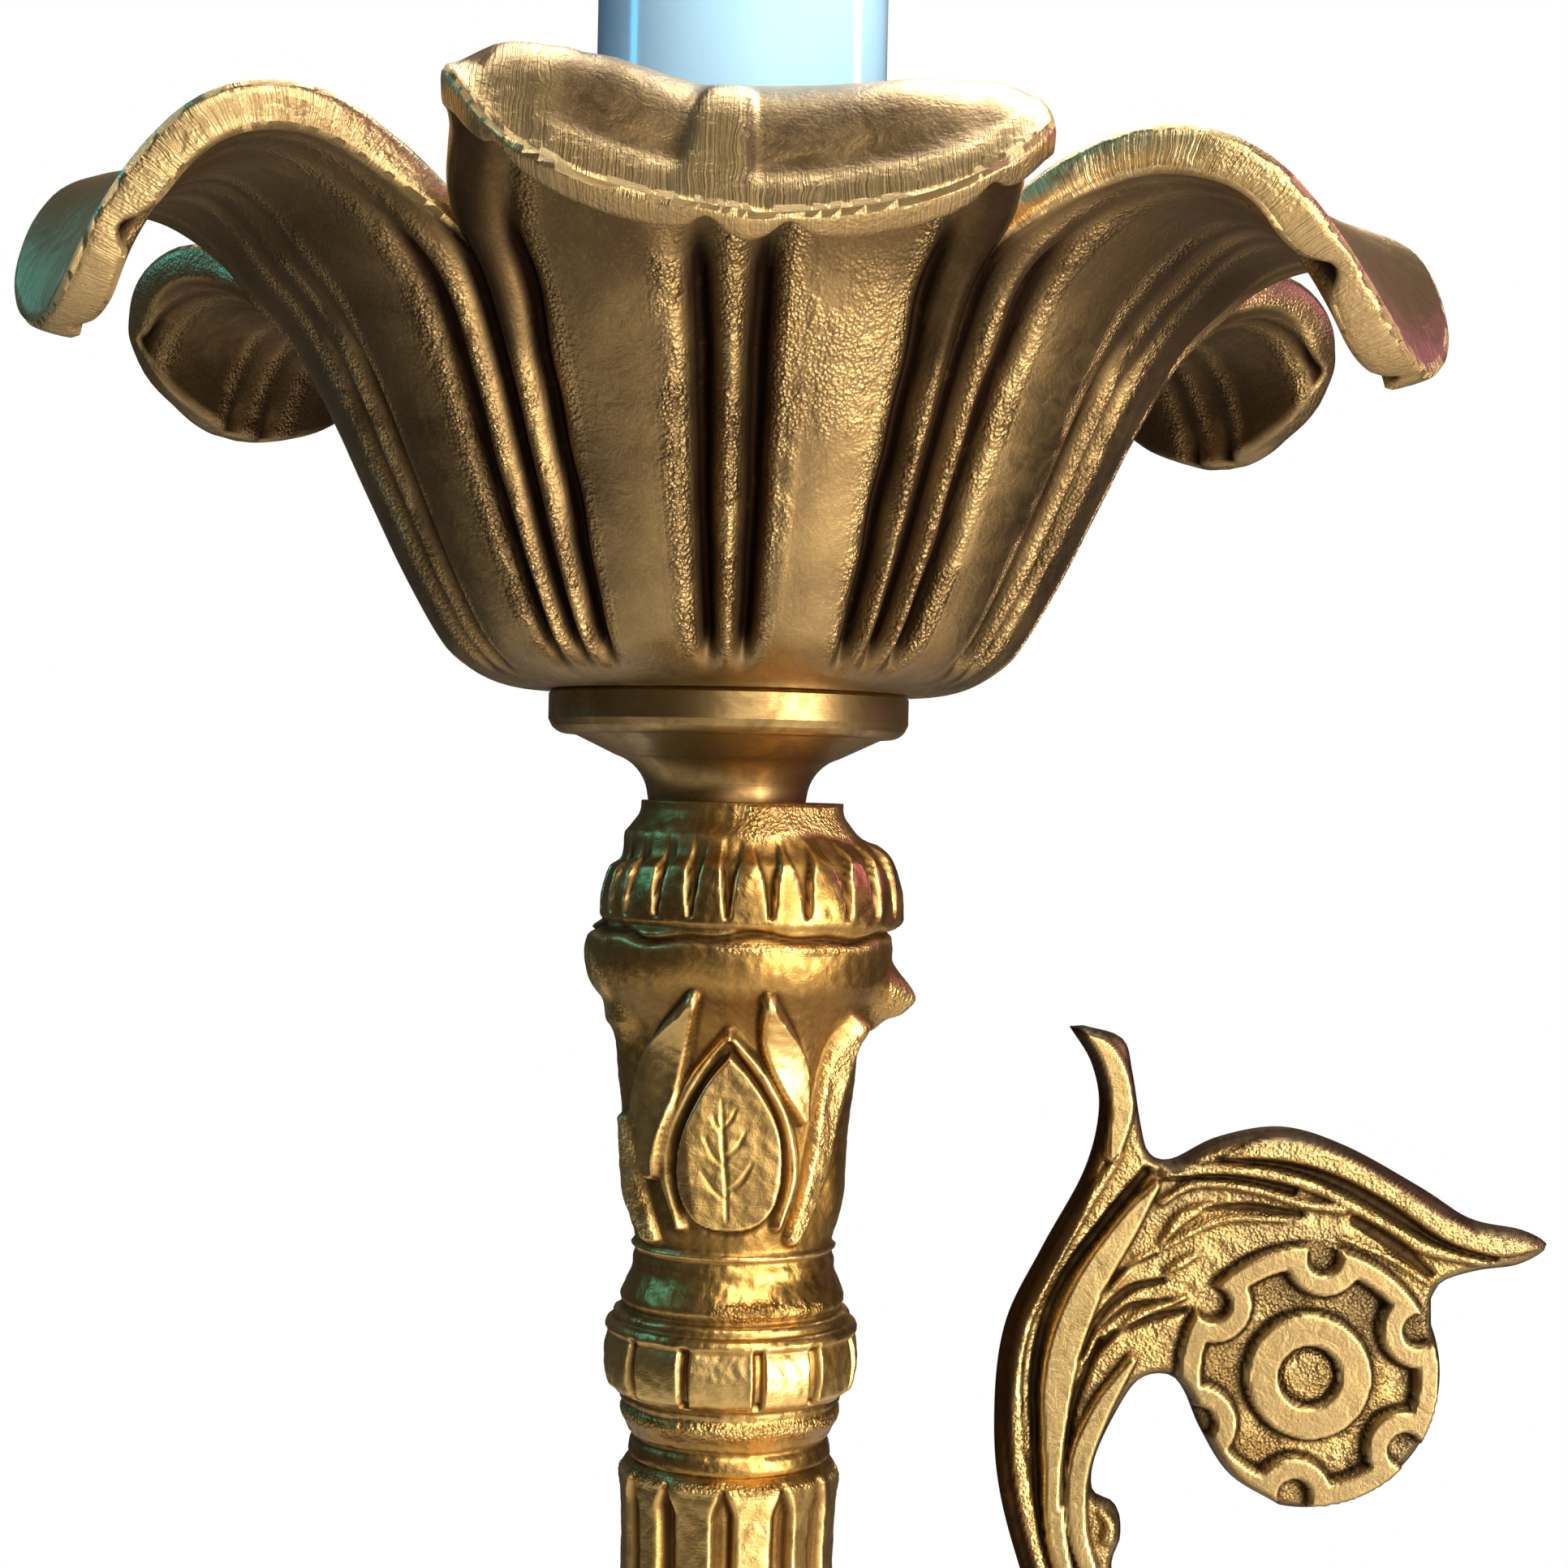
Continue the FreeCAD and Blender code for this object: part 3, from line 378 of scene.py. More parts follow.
# and on over the crest to the tip, which hangs lower at the sides and lowest at the back
FRONT_TIP = [(44.0, 43.7), (47.4, 44.6), (50.8, 44.1), (53.8, 42.4), (56.4, 39.8), (58.6, 36.6)]
RIGHT_TIP = [(44.0, 44.0), (47.2, 44.8), (50.2, 43.7), (52.8, 41.2), (55.0, 38.0), (56.6, 34.9),
             (57.4, 32.5)]
LEFT_TIP = [(43.6, 44.6), (46.6, 46.5), (49.8, 46.1), (52.6, 43.7), (54.8, 40.3), (56.2, 36.9),
            (56.8, 34.4)]
BACK_TIP = [(43.8, 43.2), (46.6, 43.8), (49.2, 43.0), (51.4, 40.9), (53.0, 38.2), (53.9, 35.6),
            (54.0, 34.0)]
SHORT_TIP = [(43.6, 43.0), (46.0, 43.4), (48.2, 42.4), (50.0, 40.2), (51.3, 37.6), (51.9, 35.0),
             (51.8, 33.4)]
TIPS = [FRONT_TIP, RIGHT_TIP, SHORT_TIP, BACK_TIP, BACK_TIP, LEFT_TIP]
FRONT_HALF_STRAP = 20.0
# the front petal's crest is not level: how far it stands over an even one, at places across it
CREST_ACROSS = [-20.0, -17.0, -9.0, -3.0, 5.0, 11.0, 17.0, 21.0]
CREST_LIFT = [2.4, 2.9, 2.8, 1.3, 1.8, 2.5, 2.4, 1.6]
PETALS = 6
BOWL_ROWS = 50
STRAP_ROWS = 36
CUP_WALL = 3.5
VALLEY = 39.6                     # height over the joint where the petals part
HALF_STRAP = 18.8                 # half width of a petal beyond the valley
WEDGE = math.radians(30.0)
EDGE_ROWS = 7
# the petals at the back get more painted shade
BEHIND = (2, 3, 4)                # petals at the back, darker and hardly filed
FOOT_REACH = 20.0                 # how far out along the petal's line the flat foot runs
FOOT_FLOOR = 12.75                # height of the floor inside it


def spread_columns():
    """Places across a petal, -1 to 1, closer together where grooves and edges need them."""
    fine = np.linspace(-1, 1, 1201)
    angle = fine * 30.0
    density = 0.55 + 1.5 * ridge(angle, 7.5) + 1.7 * ramp(np.abs(angle), 20.0, 24.0)
    travel = np.cumsum(density)
    travel = (travel - travel[0]) / (travel[-1] - travel[0])
    return np.interp(np.linspace(0, 1, 87), travel, fine)


def cup_underside_relief(angle, height, number):
    """Depth of the grooves (negative is cut in) and their darkness and coarseness."""
    edge = 30.0 - np.abs(angle)
    wander = 0.25 * np.sin(height * 0.35 + number) + 0.15 * np.sin(height * 0.9 + 2 * number)
    rise = ramp(height, 10.2, 13.0)
    edge_fade = rise * (1 - ramp(height, 38.0, 45.0))
    fade_from = 36.5 if number == 0 else 31.0
    centre_fade = rise * (1 - 0.92 * ramp(height, fade_from, fade_from + 7.0))
    outer_cut = ridge(edge - 6.4 - wander, 1.45)
    middle_cut = ridge(edge, 1.25)
    pair_cut = ridge(np.abs(angle - 0.5) - 3.6 - 0.4 * wander, 1.6)
    depth = -1.6 * outer_cut * edge_fade - 1.45 * middle_cut * edge_fade - 1.75 * pair_cut * centre_fade
    depth += 0.35 * ridge(edge - 3.1, 1.0) * edge_fade + 0.15 * ridge(angle - 0.5, 1.1) * centre_fade
    panel = np.clip(1 - ((np.abs(angle) - 14.0) / 8.5) ** 2, 0, 1)
    depth += 0.55 * panel * rise * (1 - ramp(height, 36.0, 45.0))
    dark = np.clip(1.6 * (outer_cut * edge_fade + middle_cut * edge_fade + pair_cut * centre_fade), 0, 1)
    lip_of_panel = ridge(np.abs(np.abs(angle) - 14.0) - 7.2, 1.5)
    coarse = np.clip(lip_of_panel + ridge(edge - 3.1, 1.2) * 0.8 + ridge(angle - 0.5, 1.4), 0, 1)
    coarse = coarse * rise * (1 - 0.6 * ramp(height, 40.0, 46.0)) * (1 - dark)
    if number == 0:
        # the front panel's right half: a thin crease, and a coarse patch near its top
        crease = ridge(angle - 9.3, 0.35) * ramp(height, 13.0, 17.0) * ramp(height, 37.0, 32.0)
        depth += 0.28 * crease
        patch = ramp(angle, 7.0, 10.0) * ramp(angle, 21.0, 17.0)
        patch = patch * ramp(height, 25.0, 30.0) * ramp(height, 42.0, 38.0)
        coarse = np.maximum(coarse, np.maximum(0.4 * patch, crease))
        # painted shadow towards the valleys at both sides of the front petal
        gap = ramp(np.abs(angle), 22.5, 27.0) * ramp(height, 30.0, 35.0)
        dark = np.maximum(dark, 0.85 * gap)
        coarse = coarse * (1 - gap)
    return depth, dark, coarse


def petal_grids(number):
    """The underside and upper side of one petal: two (rows, columns, 3) grids with their marks."""
    local = np.random.default_rng(40 + number)
    line, _ = curve_through(CUP_LINE + TIPS[number], 400)
    travel = np.concatenate([[0], np.cumsum(np.linalg.norm(np.diff(line, axis=0), axis=1))])
    length = travel[-1]
    slope = np.gradient(line, travel, axis=0)
    across = spread_columns()
    columns = len(across)
    cut_back = 2.0 * np.abs(across) + 4.6 * across ** 2 + 6.5 * across ** 6
    if number == 0:
        cut_back = 1.6 * np.abs(across) + 4.4 * across ** 2 + np.where(across > 0, 2.6, 4.4) * across ** 6
    cut_back *= 1 + local.uniform(-0.06, 0.06)
    ends = length - cut_back
    valley_s = np.interp(VALLEY, line[:260, 1], travel[:260])
    bowl_s = np.repeat(np.linspace(0, valley_s, BOWL_ROWS)[:, None], columns, axis=1)
    strap_s = valley_s + np.linspace(0, 1, STRAP_ROWS + 1)[1:, None] * (ends - valley_s)[None, :]
    grid_s = np.vstack([bowl_s, strap_s])
    a = np.repeat(across[None, :], len(grid_s), axis=0)
    radius = np.interp(grid_s, travel, line[:, 0])
    height = np.interp(grid_s, travel, line[:, 1])
    along_r = np.interp(grid_s, travel, slope[:, 0])
    along_z = np.interp(grid_s, travel, slope[:, 1])
    norm = np.hypot(along_r, along_z)
    inward = np.stack([-along_z / norm, np.zeros_like(norm), along_r / norm], axis=-1)
    part = ramp(grid_s, valley_s, valley_s + 16.0)
    strap = ramp(grid_s, valley_s, valley_s + 9.0)
    angle = a * WEDGE
    wedge_u = radius * np.sin(angle)
    half_strap = HALF_STRAP if number else FRONT_HALF_STRAP
    strap_u = half_strap * np.sin(angle) / math.sin(WEDGE)
    if number in (1, 5):
        strap_u = strap_u * (1 - 0.27 * ramp(length - grid_s, 19.0, 3.0))
    u = wedge_u * (1 - strap) + strap_u * strap
    valley_r = float(np.interp(valley_s, travel, line[:, 0]))
    held_r = np.minimum(radius, valley_r + (radius - valley_r) * 0.25)
    tuck = held_r * (1 - np.cos(angle)) * (1 - part)
    dish = 1.3 * np.abs(a) ** 1.7 * part
    x = radius - tuck + inward[..., 0] * dish
    z = height + inward[..., 2] * dish
    twist = local.uniform(-0.03, 0.03) if number else 0.055
    z = z - twist * u * part
    if number == 0:
        z = z + np.interp(u, CREST_ACROSS, CREST_LIFT) * part * ramp(ends[None, :] - grid_s, 0.5, 9.0)
        u = u + 1.5 * part
    base = np.stack([x, u, z], axis=-1)
    degrees = a * 30.0
    depth, dark, coarse = cup_underside_relief(degrees, height, number)
    outward = np.stack([np.cos(angle) * (1 - part) * -inward[..., 0] - part * inward[..., 0],
                        np.sin(angle) * (1 - part) * -inward[..., 0], -inward[..., 2]], axis=-1)
    outward = outward / np.linalg.norm(outward, axis=-1, keepdims=True)
    under = base + outward * depth[..., None]
    end_gap = ends[None, :] - grid_s
    side_gap = (1 - np.abs(a)) * half_strap
    wall = CUP_WALL * (1 - (0.34 if number == 0 else 0.08) * ramp(grid_s, valley_s + 9.0, length - 3.0))
    lift, filed_top, dull = cup_upper_relief(u, end_gap, grid_s - valley_s, number)
    upper = base - outward * (wall + lift)[..., None]
    upper[..., 2] = np.where(grid_s < FOOT_REACH, np.maximum(upper[..., 2], FOOT_FLOOR), upper[..., 2])
    rim = np.minimum(end_gap, np.where(grid_s > valley_s, side_gap, 99.0))
    behind = number in BEHIND
    # painted shade under the drooping lip, stronger and lower on the petals at the back
    shade_from = 33.0 if behind else 35.5
    shade = (0.6 if behind else 0.42) * ramp(height, shade_from, shade_from + 5.0)
    dark = np.maximum(dark, shade * (1 - 0.7 * coarse))
    under_marks = {"grime_and_shade": dark, "sandy": coarse, "filed": ramp(rim, 0.5, 0.0) * (0.2 if behind else 1.0),
                   "dull": (0.36 + 0.55 * ramp(height, 33, 42)) * (1 - 0.8 * coarse)}
    under_marks["run"] = u
    filed_top = np.clip(filed_top + ramp(rim, 0.9, 0.2), 0, 1) * (0.3 if behind else 1.0)
    upper_marks = {"run": u, "grime_and_shade": 0.25 * (1 - ramp(grid_s, valley_s - 20, valley_s)),
                   "sandy": 0.04 + 0 * dark, "filed": filed_top, "dull": dull}
    return under, upper, under_marks, upper_marks


def cup_upper_relief(u, end_gap, past_valley, number):
    """The drooping lip's upper side. In front a filed midrib and margin round two shallow hollows;
    the side petals are filed smooth all over."""
    on_lip = ramp(past_valley, 9.0, 15.0)
    if number:
        shallow = ramp(np.abs(u), 15.0, 8.0) * ramp(end_gap, 2.0, 7.0) * on_lip
        return -0.35 * shallow, 0.8 * on_lip, 0.3 + 0.3 * (1 - on_lip)
    rib = 0.55 + 0.13 * np.clip(13.0 - end_gap, 0, 13.0)
    on_rib = ramp(np.abs(u + 0.6 - 0.08 * end_gap), rib + 1.1, rib - 0.3) * ramp(past_valley, 12.0, 16.0)
    left_edge = -10.6 - 0.22 * np.clip(11.0 - end_gap, 0, 11.0)
    in_hollow = ramp(u, left_edge, left_edge + 1.6) * ramp(u, 19.8, 16.5) * (1 - on_rib)
    in_hollow *= ramp(end_gap, 1.4, 4.2) * on_lip
    facet = ramp(u, left_edge - 4.2, left_edge - 3.0) * ramp(u, left_edge + 1.0, left_edge) * on_lip
    lift = -0.55 * in_hollow + 0.25 * on_rib - 0.35 * facet * ramp(u, left_edge - 4.0, left_edge)
    margin = ramp(end_gap, 3.4, 2.2) * on_lip
    filed = np.clip(0.85 * on_rib + facet * 0.8 + margin, 0, 1)
    dull = 0.20 * in_hollow + 0.25 * (1 - in_hollow) * (1 - filed)
    return lift, filed, dull


def lily_cup():
    """The whole cup as one closed mesh: six petals that share their edges up to the valleys."""
    points = []
    faces = []
    marks = {"grime_and_shade": [], "sandy": [], "filed": [], "dull": [], "run": []}
    count = 0
    for number in range(PETALS):
        under, upper, under_marks, upper_marks = petal_grids(number)
        rows, columns = under.shape[:2]
        turn = math.radians(60.0 * number - 90.0)
        cosine, sine = math.cos(turn), math.sin(turn)
        spin = np.array([[cosine, -sine, 0], [sine, cosine, 0], [0, 0, 1]])
        layers = [under]
        layer_marks = [under_marks]
        for step in range(1, EDGE_ROWS):
            share = step / EDGE_ROWS
            layers.append(under * (1 - share) + upper * share)
            bare = np.zeros((rows, columns))
            layer_marks.append({"grime_and_shade": bare, "sandy": bare + 0.2, "filed": bare + 1, "dull": bare})
        layers.append(upper)
        layer_marks.append(upper_marks)
        first = count
        for grid, mark in zip((under, upper), (under_marks, upper_marks)):
            points.append(grid.reshape(-1, 3) @ spin.T)
            for key in marks:
                marks[key].append(mark[key].reshape(-1))
            count += rows * columns
        faces += grid_faces(rows, columns, first)
        faces += grid_faces(rows, columns, first + rows * columns, flip=True)
        # the rim: up the left margin from the valley, round the end, down the right margin
        root_row = BOWL_ROWS - 1
        path = [(row, 0) for row in range(root_row, rows)]
        path += [(rows - 1, column) for column in range(1, columns)]
        path += [(row, columns - 1) for row in range(rows - 2, root_row - 1, -1)]
        path_rows = np.array([row for row, _ in path])
        path_columns = np.array([column for _, column in path])
        root = np.minimum(np.arange(len(path)), np.arange(len(path))[::-1])
        strip = []
        for step, layer in enumerate(layers):
            edge = layer[path_rows, path_columns]
            if 0 < step < len(layers) - 1:
                share = step / (len(layers) - 1)
                ahead = np.gradient(edge, axis=0)
                through = upper[path_rows, path_columns] - under[path_rows, path_columns]
                out = np.cross(ahead, through)
                out /= np.linalg.norm(out, axis=1, keepdims=True) + 1e-9
                swell = 0.42 * (1 - abs(2 * share - 1) ** 5)
                edge = edge + out * (swell * ramp(root, 0, 4))[:, None]
            strip.append(edge)
        base = count
        middle = strip[len(strip) // 2]
        travelled = np.concatenate([[0], np.cumsum(np.linalg.norm(np.diff(middle, axis=0), axis=1))])
        for step, edge in enumerate(strip):
            points.append(edge @ spin.T)
            for key in marks:
                if key == "run":
                    marks[key].append(travelled)
                    continue
                value = layer_marks[step][key][path_rows, path_columns]
                if key == "sandy":
                    value = np.maximum(value, ramp(root, 9, 3))
                if key == "filed":
                    value = value * ramp(root, 2, 8) * (0.25 if number in BEHIND else 1.0)
                marks[key].append(value)
            count += len(path)
        faces += grid_faces(len(strip), len(path), base)
    cup_points = np.vstack(points)
    cup_points[:, 2] += JOINT
    all_marks = {key: np.concatenate(values) for key, values in marks.items()}
    piece = make_mesh("lily_cup_cast", cup_points, faces, all_marks, "stand", CUP_BRASS,
                      ["lily_cup"])
    return weld(piece, 0.02, bridge=True)


lily_cup()


# ---------------------------------------------------------------- relief on turned and flat castings

def nearest(u, z, path):
    """Distance from a smooth stroke through (u, z) or (u, z, half width) stations, less the half width."""
    line = stroke(path)
    halves = line[:, 2] if line.shape[1] > 2 else np.zeros(len(line))
    flat_u, flat_z = np.ravel(u), np.ravel(z)
    best = np.full(len(flat_u), 1e9)
    for index, start in enumerate(line[:-1]):
        run_u, run_z = line[index + 1, :2] - start[:2]
        off_u, off_z = flat_u - start[0], flat_z - start[1]
        share = np.clip((off_u * run_u + off_z * run_z) / (run_u ** 2 + run_z ** 2), 0, 1)
        half = halves[index] + share * (halves[index + 1] - halves[index])
        best = np.minimum(best, np.hypot(off_u - share * run_u, off_z - share * run_z) - half)
    return best.reshape(np.shape(u))


def inside(u, z, path, soft=0.18):
    """1 within a stroke, 0 outside, over a slope twice soft wide."""
    return ramp(nearest(u, z, path), soft, -soft)


def edge_distance(u, z, outline):
    """Signed distance to a closed outline, positive inside, and the outline's nearest places."""
    corners = np.array(outline)
    flat = np.column_stack([np.ravel(u), np.ravel(z)])
    best = np.full(len(flat), 1e9)
    place = flat.copy()
    within = np.zeros(len(flat), dtype=bool)
    for start, end in zip(corners, np.roll(corners, -1, axis=0)):
        run = end - start
        share = np.clip((flat - start) @ run / (run @ run), 0, 1)
        spot = start + share[:, None] * run
        gap = np.linalg.norm(flat - spot, axis=1)
        place[gap < best] = spot[gap < best]
        best = np.minimum(best, gap)
        if end[1] != start[1]:
            crosses = (start[1] > flat[:, 1]) != (end[1] > flat[:, 1])
            at = start[0] + (flat[:, 1] - start[1]) * run[0] / run[1]
            within ^= crosses & (flat[:, 0] < at)
    return np.where(within, best, -best).reshape(np.shape(u)), place.reshape(np.shape(u) + (2,))


def blurred(grid, rounds, wrap=True):
    """A soft average of a height grid; its last axis may run round the piece."""
    for _ in range(rounds):
        padded = np.pad(grid, ((1, 1), (0, 0)), mode="edge")
        grid = 0.25 * (padded[:-2] + 2 * grid + padded[2:])
        if wrap:
            grid = 0.25 * (np.roll(grid, 1, 1) + 2 * grid + np.roll(grid, -1, 1))
        else:
            padded = np.pad(grid, ((0, 0), (1, 1)), mode="edge")
            grid = 0.25 * (padded[:, :-2] + 2 * grid + padded[:, 2:])
    return grid


def hollows(height, rounds, wrap=True):
    """How far each place lies under and over its surroundings, in mm."""
    change = height - blurred(height, rounds, wrap)
    return np.clip(-change, 0, None), np.clip(change, 0, None)


class Turning:
    """A cast turning: a profile revolved about the stem's axis, carrying relief normal to itself."""

    def __init__(self, name, line, step, columns):
        self.name = name
        length = np.sum(np.linalg.norm(np.diff(np.array(line), axis=0), axis=1))
        self.rows = int(length / step) + 2
        self.columns = columns
        self.line, _ = curve_through(line, self.rows)
        self.theta = np.repeat(np.arange(columns)[None, :] * (2 * math.pi / columns), self.rows, axis=0)
        self.radius = np.repeat(self.line[:, :1], columns, axis=1)
        self.z = np.repeat(self.line[:, 1:], columns, axis=1)
        self.depth = np.zeros_like(self.z)
        self.marks = {mark: np.zeros_like(self.z) for mark in ("grime_and_shade", "sandy", "filed", "dull", "wear")}
        self.degrees = np.degrees((self.theta + math.pi) % (2 * math.pi) - math.pi)
        self.face = self.radius * np.sin(self.theta)
        self.turning = np.abs(np.cos(self.theta))

    def spread(self, angles):
        """Angle from the nearest of the given angles, in degrees."""
        gaps = [(self.degrees - angle + 180.0) % 360.0 - 180.0 for angle in angles]
        pile = np.array(gaps)
        pick = np.argmin(np.abs(pile), axis=0)
        return np.take_along_axis(pile, pick[None], axis=0)[0]

    def mark(self, name, share):
        raise_mark(self.marks, name, share)

    def add(self, share, height):
        self.depth += share * height

    def roughen(self, amount, scale, seed):
        spots = [self.radius * np.cos(self.theta), self.radius * np.sin(self.theta), self.z]
        spots = np.stack(spots, axis=-1)
        grain = smooth_noise(spots.reshape(-1, 3), scale, seed).reshape(self.z.shape)
        self.depth += amount * grain

    def settle(self, rounds=4, dark=0.22, bright=0.16):
        """Reads the hollows of the relief, which the material darkens, and where hands rub off the relief."""
        under, over = hollows(self.depth, rounds)
        self.marks["grime_and_shade"] = np.clip(self.marks["grime_and_shade"] + under / dark, 0, 1)
        self.marks["wear"] = np.clip(self.marks["wear"] + over / bright, 0, 1) * (1 - self.marks["grime_and_shade"])

    def build(self, body, material, axis, hole, replaced):
        """Makes the mesh with its ends turned in to the rod's hole. axis is where the turning's
        own axis stands; the rod always stands on the candlestick's."""
        slope = np.gradient(self.line, axis=0)
        slope /= np.linalg.norm(slope, axis=1, keepdims=True)
        radius = self.radius + self.depth * slope[:, 1:]
        z = self.z - self.depth * slope[:, :1]
        z[0], z[-1] = self.z[0], self.z[-1]
        x = axis + radius * np.sin(self.theta)
        y = -radius * np.cos(self.theta)
        outer = np.stack([x, y, z], axis=-1)
        angle = self.theta[0]
        rims = []
        for level in (self.line[0, 1], self.line[-1, 1]):
            flat_rim = [hole * np.sin(angle), -hole * np.cos(angle), np.full(len(angle), level)]
            rims.append(np.column_stack(flat_rim))
        points = np.vstack([rims[0][None], outer, rims[1][None]])
        rows = len(points)
        faces = grid_faces(rows, self.columns, wrap=True)
        last = (rows - 1) * self.columns
        for column in range(self.columns):
            ahead = (column + 1) % self.columns
            faces.append((last + column, last + ahead, ahead, column))
        marks = {}
        for key, grid in self.marks.items():
            marks[key] = np.vstack([grid[:1], grid, grid[-1:]]).reshape(-1)
        marks["run"] = np.vstack([self.z[:1], self.z, self.z[-1:]]).reshape(-1)
        flat = points.reshape(-1, 3)
        flat[:, 2] += JOINT
        piece = make_mesh(self.name, flat, faces, marks, body, material, replaced)
        return weld(piece, 0.0005)


# ---------------------------------------------------------------- upper stem

ROD_HOLE = 0.5 * (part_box("tie_rod")[1][0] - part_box("tie_rod")[0][0]) / MM + 0.35

STEM_LINE = [(8.55, -56.2), (8.7, -55.7), (8.62, -55.0), (8.6, -54.3), (8.9, -53.5), (9.35, -52.7),
             (9.45, -52.0), (9.35, -51.4), (9.9, -50.6), (10.5, -49.6), (10.9, -48.0), (11.0, -46.6),
             (10.9, -45.1), (10.35, -44.0), (9.7, -43.0), (9.6, -42.2), (9.1, -41.0), (8.7, -40.0),
             (8.65, -39.2), (8.4, -38.2), (8.5, -37.0), (8.75, -35.5), (8.95, -32.0), (9.1, -28.0),
             (9.2, -24.0), (9.35, -21.0), (9.9, -19.0), (11.0, -17.2), (12.2, -15.8), (12.95, -14.2),
             (13.2, -12.6), (13.1, -11.4), (13.25, -10.0), (13.2, -8.2), (12.9, -6.6), (12.2, -4.9),
             (10.5, -3.2), (9.3, -1.8), (8.75, -0.9), (8.7, 0.0)]
# the calyx: across the face, height over the joint, half width
ALMOND = stroke([(-0.4, -20.9), (-2.4, -23.7), (-3.9, -28), (-4, -32), (-2.6, -34.8), (-0.2, -35.5),
                 (2.3, -34.6), (3.5, -31.5), (3.3, -27), (1.7, -23.4), (-0.4, -20.9)])[:-1]
LEFT_RIDGE = [(-0.6, -19, 0.2), (-3, -22.7, 0.4), (-4.9, -27, 0.4), (-5.4, -31, 0.4), (-4.2, -35.4, 0.25)]
RIGHT_RIDGE = [(-0.4, -19, 0.2), (2, -22.4, 0.4), (4, -26.6, 0.4), (4.7, -30.7, 0.35), (3.6, -35.2, 0.25)]
RIGHT_LEAF = [(2.7, -16, 0.3), (3.4, -19.5, 1.15), (4.3, -22.5, 1.1), (5.3, -26.3, 0.15)]
LEFT_LEAF = [(-3.5, -16, 0.25), (-5.2, -20.5, 1.35), (-6.3, -25.5, 1.35), (-6.5, -31, 0.5)]
SIDE_RIGHT = [(9.7, -18, 0.2), (8.2, -20.8, 0.5), (7.3, -26, 0.65), (6.5, -31.5, 0.7), (4.9, -36.3, 0.45)]
SIDE_LEFT = [(-8.5, -27, 0.25), (-8, -32.5, 0.55), (-6.7, -36.8, 0.55)]
LEFT_CURL = [(-12.9, -12.8, 0.3), (-12.4, -15, 0.9), (-11.5, -17.5, 1.1), (-10.3, -20, 0.4)]
# a plain engraved twig: a stalk and three pairs of short leaves
TWIG = [[(-0.95, -24.6, 0.05), (-0.8, -28.0, 0.12), (-0.5, -31.5, 0.12), (-0.4, -34.4, 0.06)],
        [(-0.55, -32.8, 0.04), (-1.5, -31.8, 0.14), (-2.3, -30.4, 0.04)],
        [(-0.5, -32.2, 0.04), (0.6, -31.3, 0.14), (1.4, -29.8, 0.04)],
        [(-0.75, -30.0, 0.04), (-1.6, -29.0, 0.13), (-2.1, -27.7, 0.04)],
        [(-0.7, -29.4, 0.04), (0.3, -28.5, 0.13), (0.9, -27.2, 0.04)],
        [(-0.85, -27.4, 0.04), (-1.4, -26.5, 0.10), (-1.6, -25.8, 0.04)],
        [(-0.85, -27.0, 0.04), (-0.2, -26.2, 0.10), (0.1, -25.4, 0.04)]]


def knop_relief(t):
    """The gouged shoulder, the irregular incised line and the smooth bowl under it."""
    gouge = t.spread([-3.7 + 15.0 * k + 1.1 * math.sin(2.3 * k) for k in range(24)])
    z = t.z
    across = arc(gouge, 13.0)
    widest = 0.25 + 0.45 * ramp(t.degrees, -8.0, 4.0)
    slit = 0.16 + 0.22 * ramp(z, -9.2, -6.6) + widest * ramp(z, -6.8, -3.8)
    span = ramp(z, -9.7, -8.9) * ramp(z, -2.7, -4.0)
    cut = ramp(np.abs(across), slit + 0.22, slit - 0.10) * span
    shoulder = ramp(z, -3.3, -5.2) * ramp(z, -10.6, -9.8)
    t.add(shoulder * (1 - cut), 0.32)
    t.add(ramp(z, -2.6, -4.2) * ramp(z, -11.3, -10.3), -0.5 + 1.0 * np.sin(t.theta))
    t.add(cut, -0.62 * (0.45 + 0.55 * ramp(z, -3.6, -6.0)))
    around = np.radians(t.degrees)
    middle = -11.15 + 0.22 * np.sin(around * 5.0 + 1.0) + 0.14 * np.sin(around * 13.0)
    line = ridge(z - middle, 0.30)
    t.add(line, -0.75)
    t.mark("grime_and_shade", 0.9 * line)
    t.mark("grime_and_shade", 0.55 * cut)
    t.mark("dull", 0.9 * ramp(z, -4.6, -3.2) + 0.8 * ramp(z, -16.0, -12.0) * ramp(z, -10.9, -11.6))
    uneven = z + 0.35 * np.sin(np.radians(t.degrees) * 7.0)
    patch = ramp(t.degrees, -10.0, 8.0) * ramp(t.degrees, 76.0, 60.0)
    patch = patch * ramp(uneven, -3.2, -2.2) * ramp(z, -0.1, -0.4)
    t.add(patch, 0.12)
    t.mark("sandy", patch)
    t.mark("wear", patch)
    rim = ridge(z + 11.9, 0.35) * ramp(t.degrees, -12.0, 5.0) * ramp(t.degrees, 70.0, 50.0)
    t.mark("sandy", rim)
    t.mark("wear", 0.8 * rim)


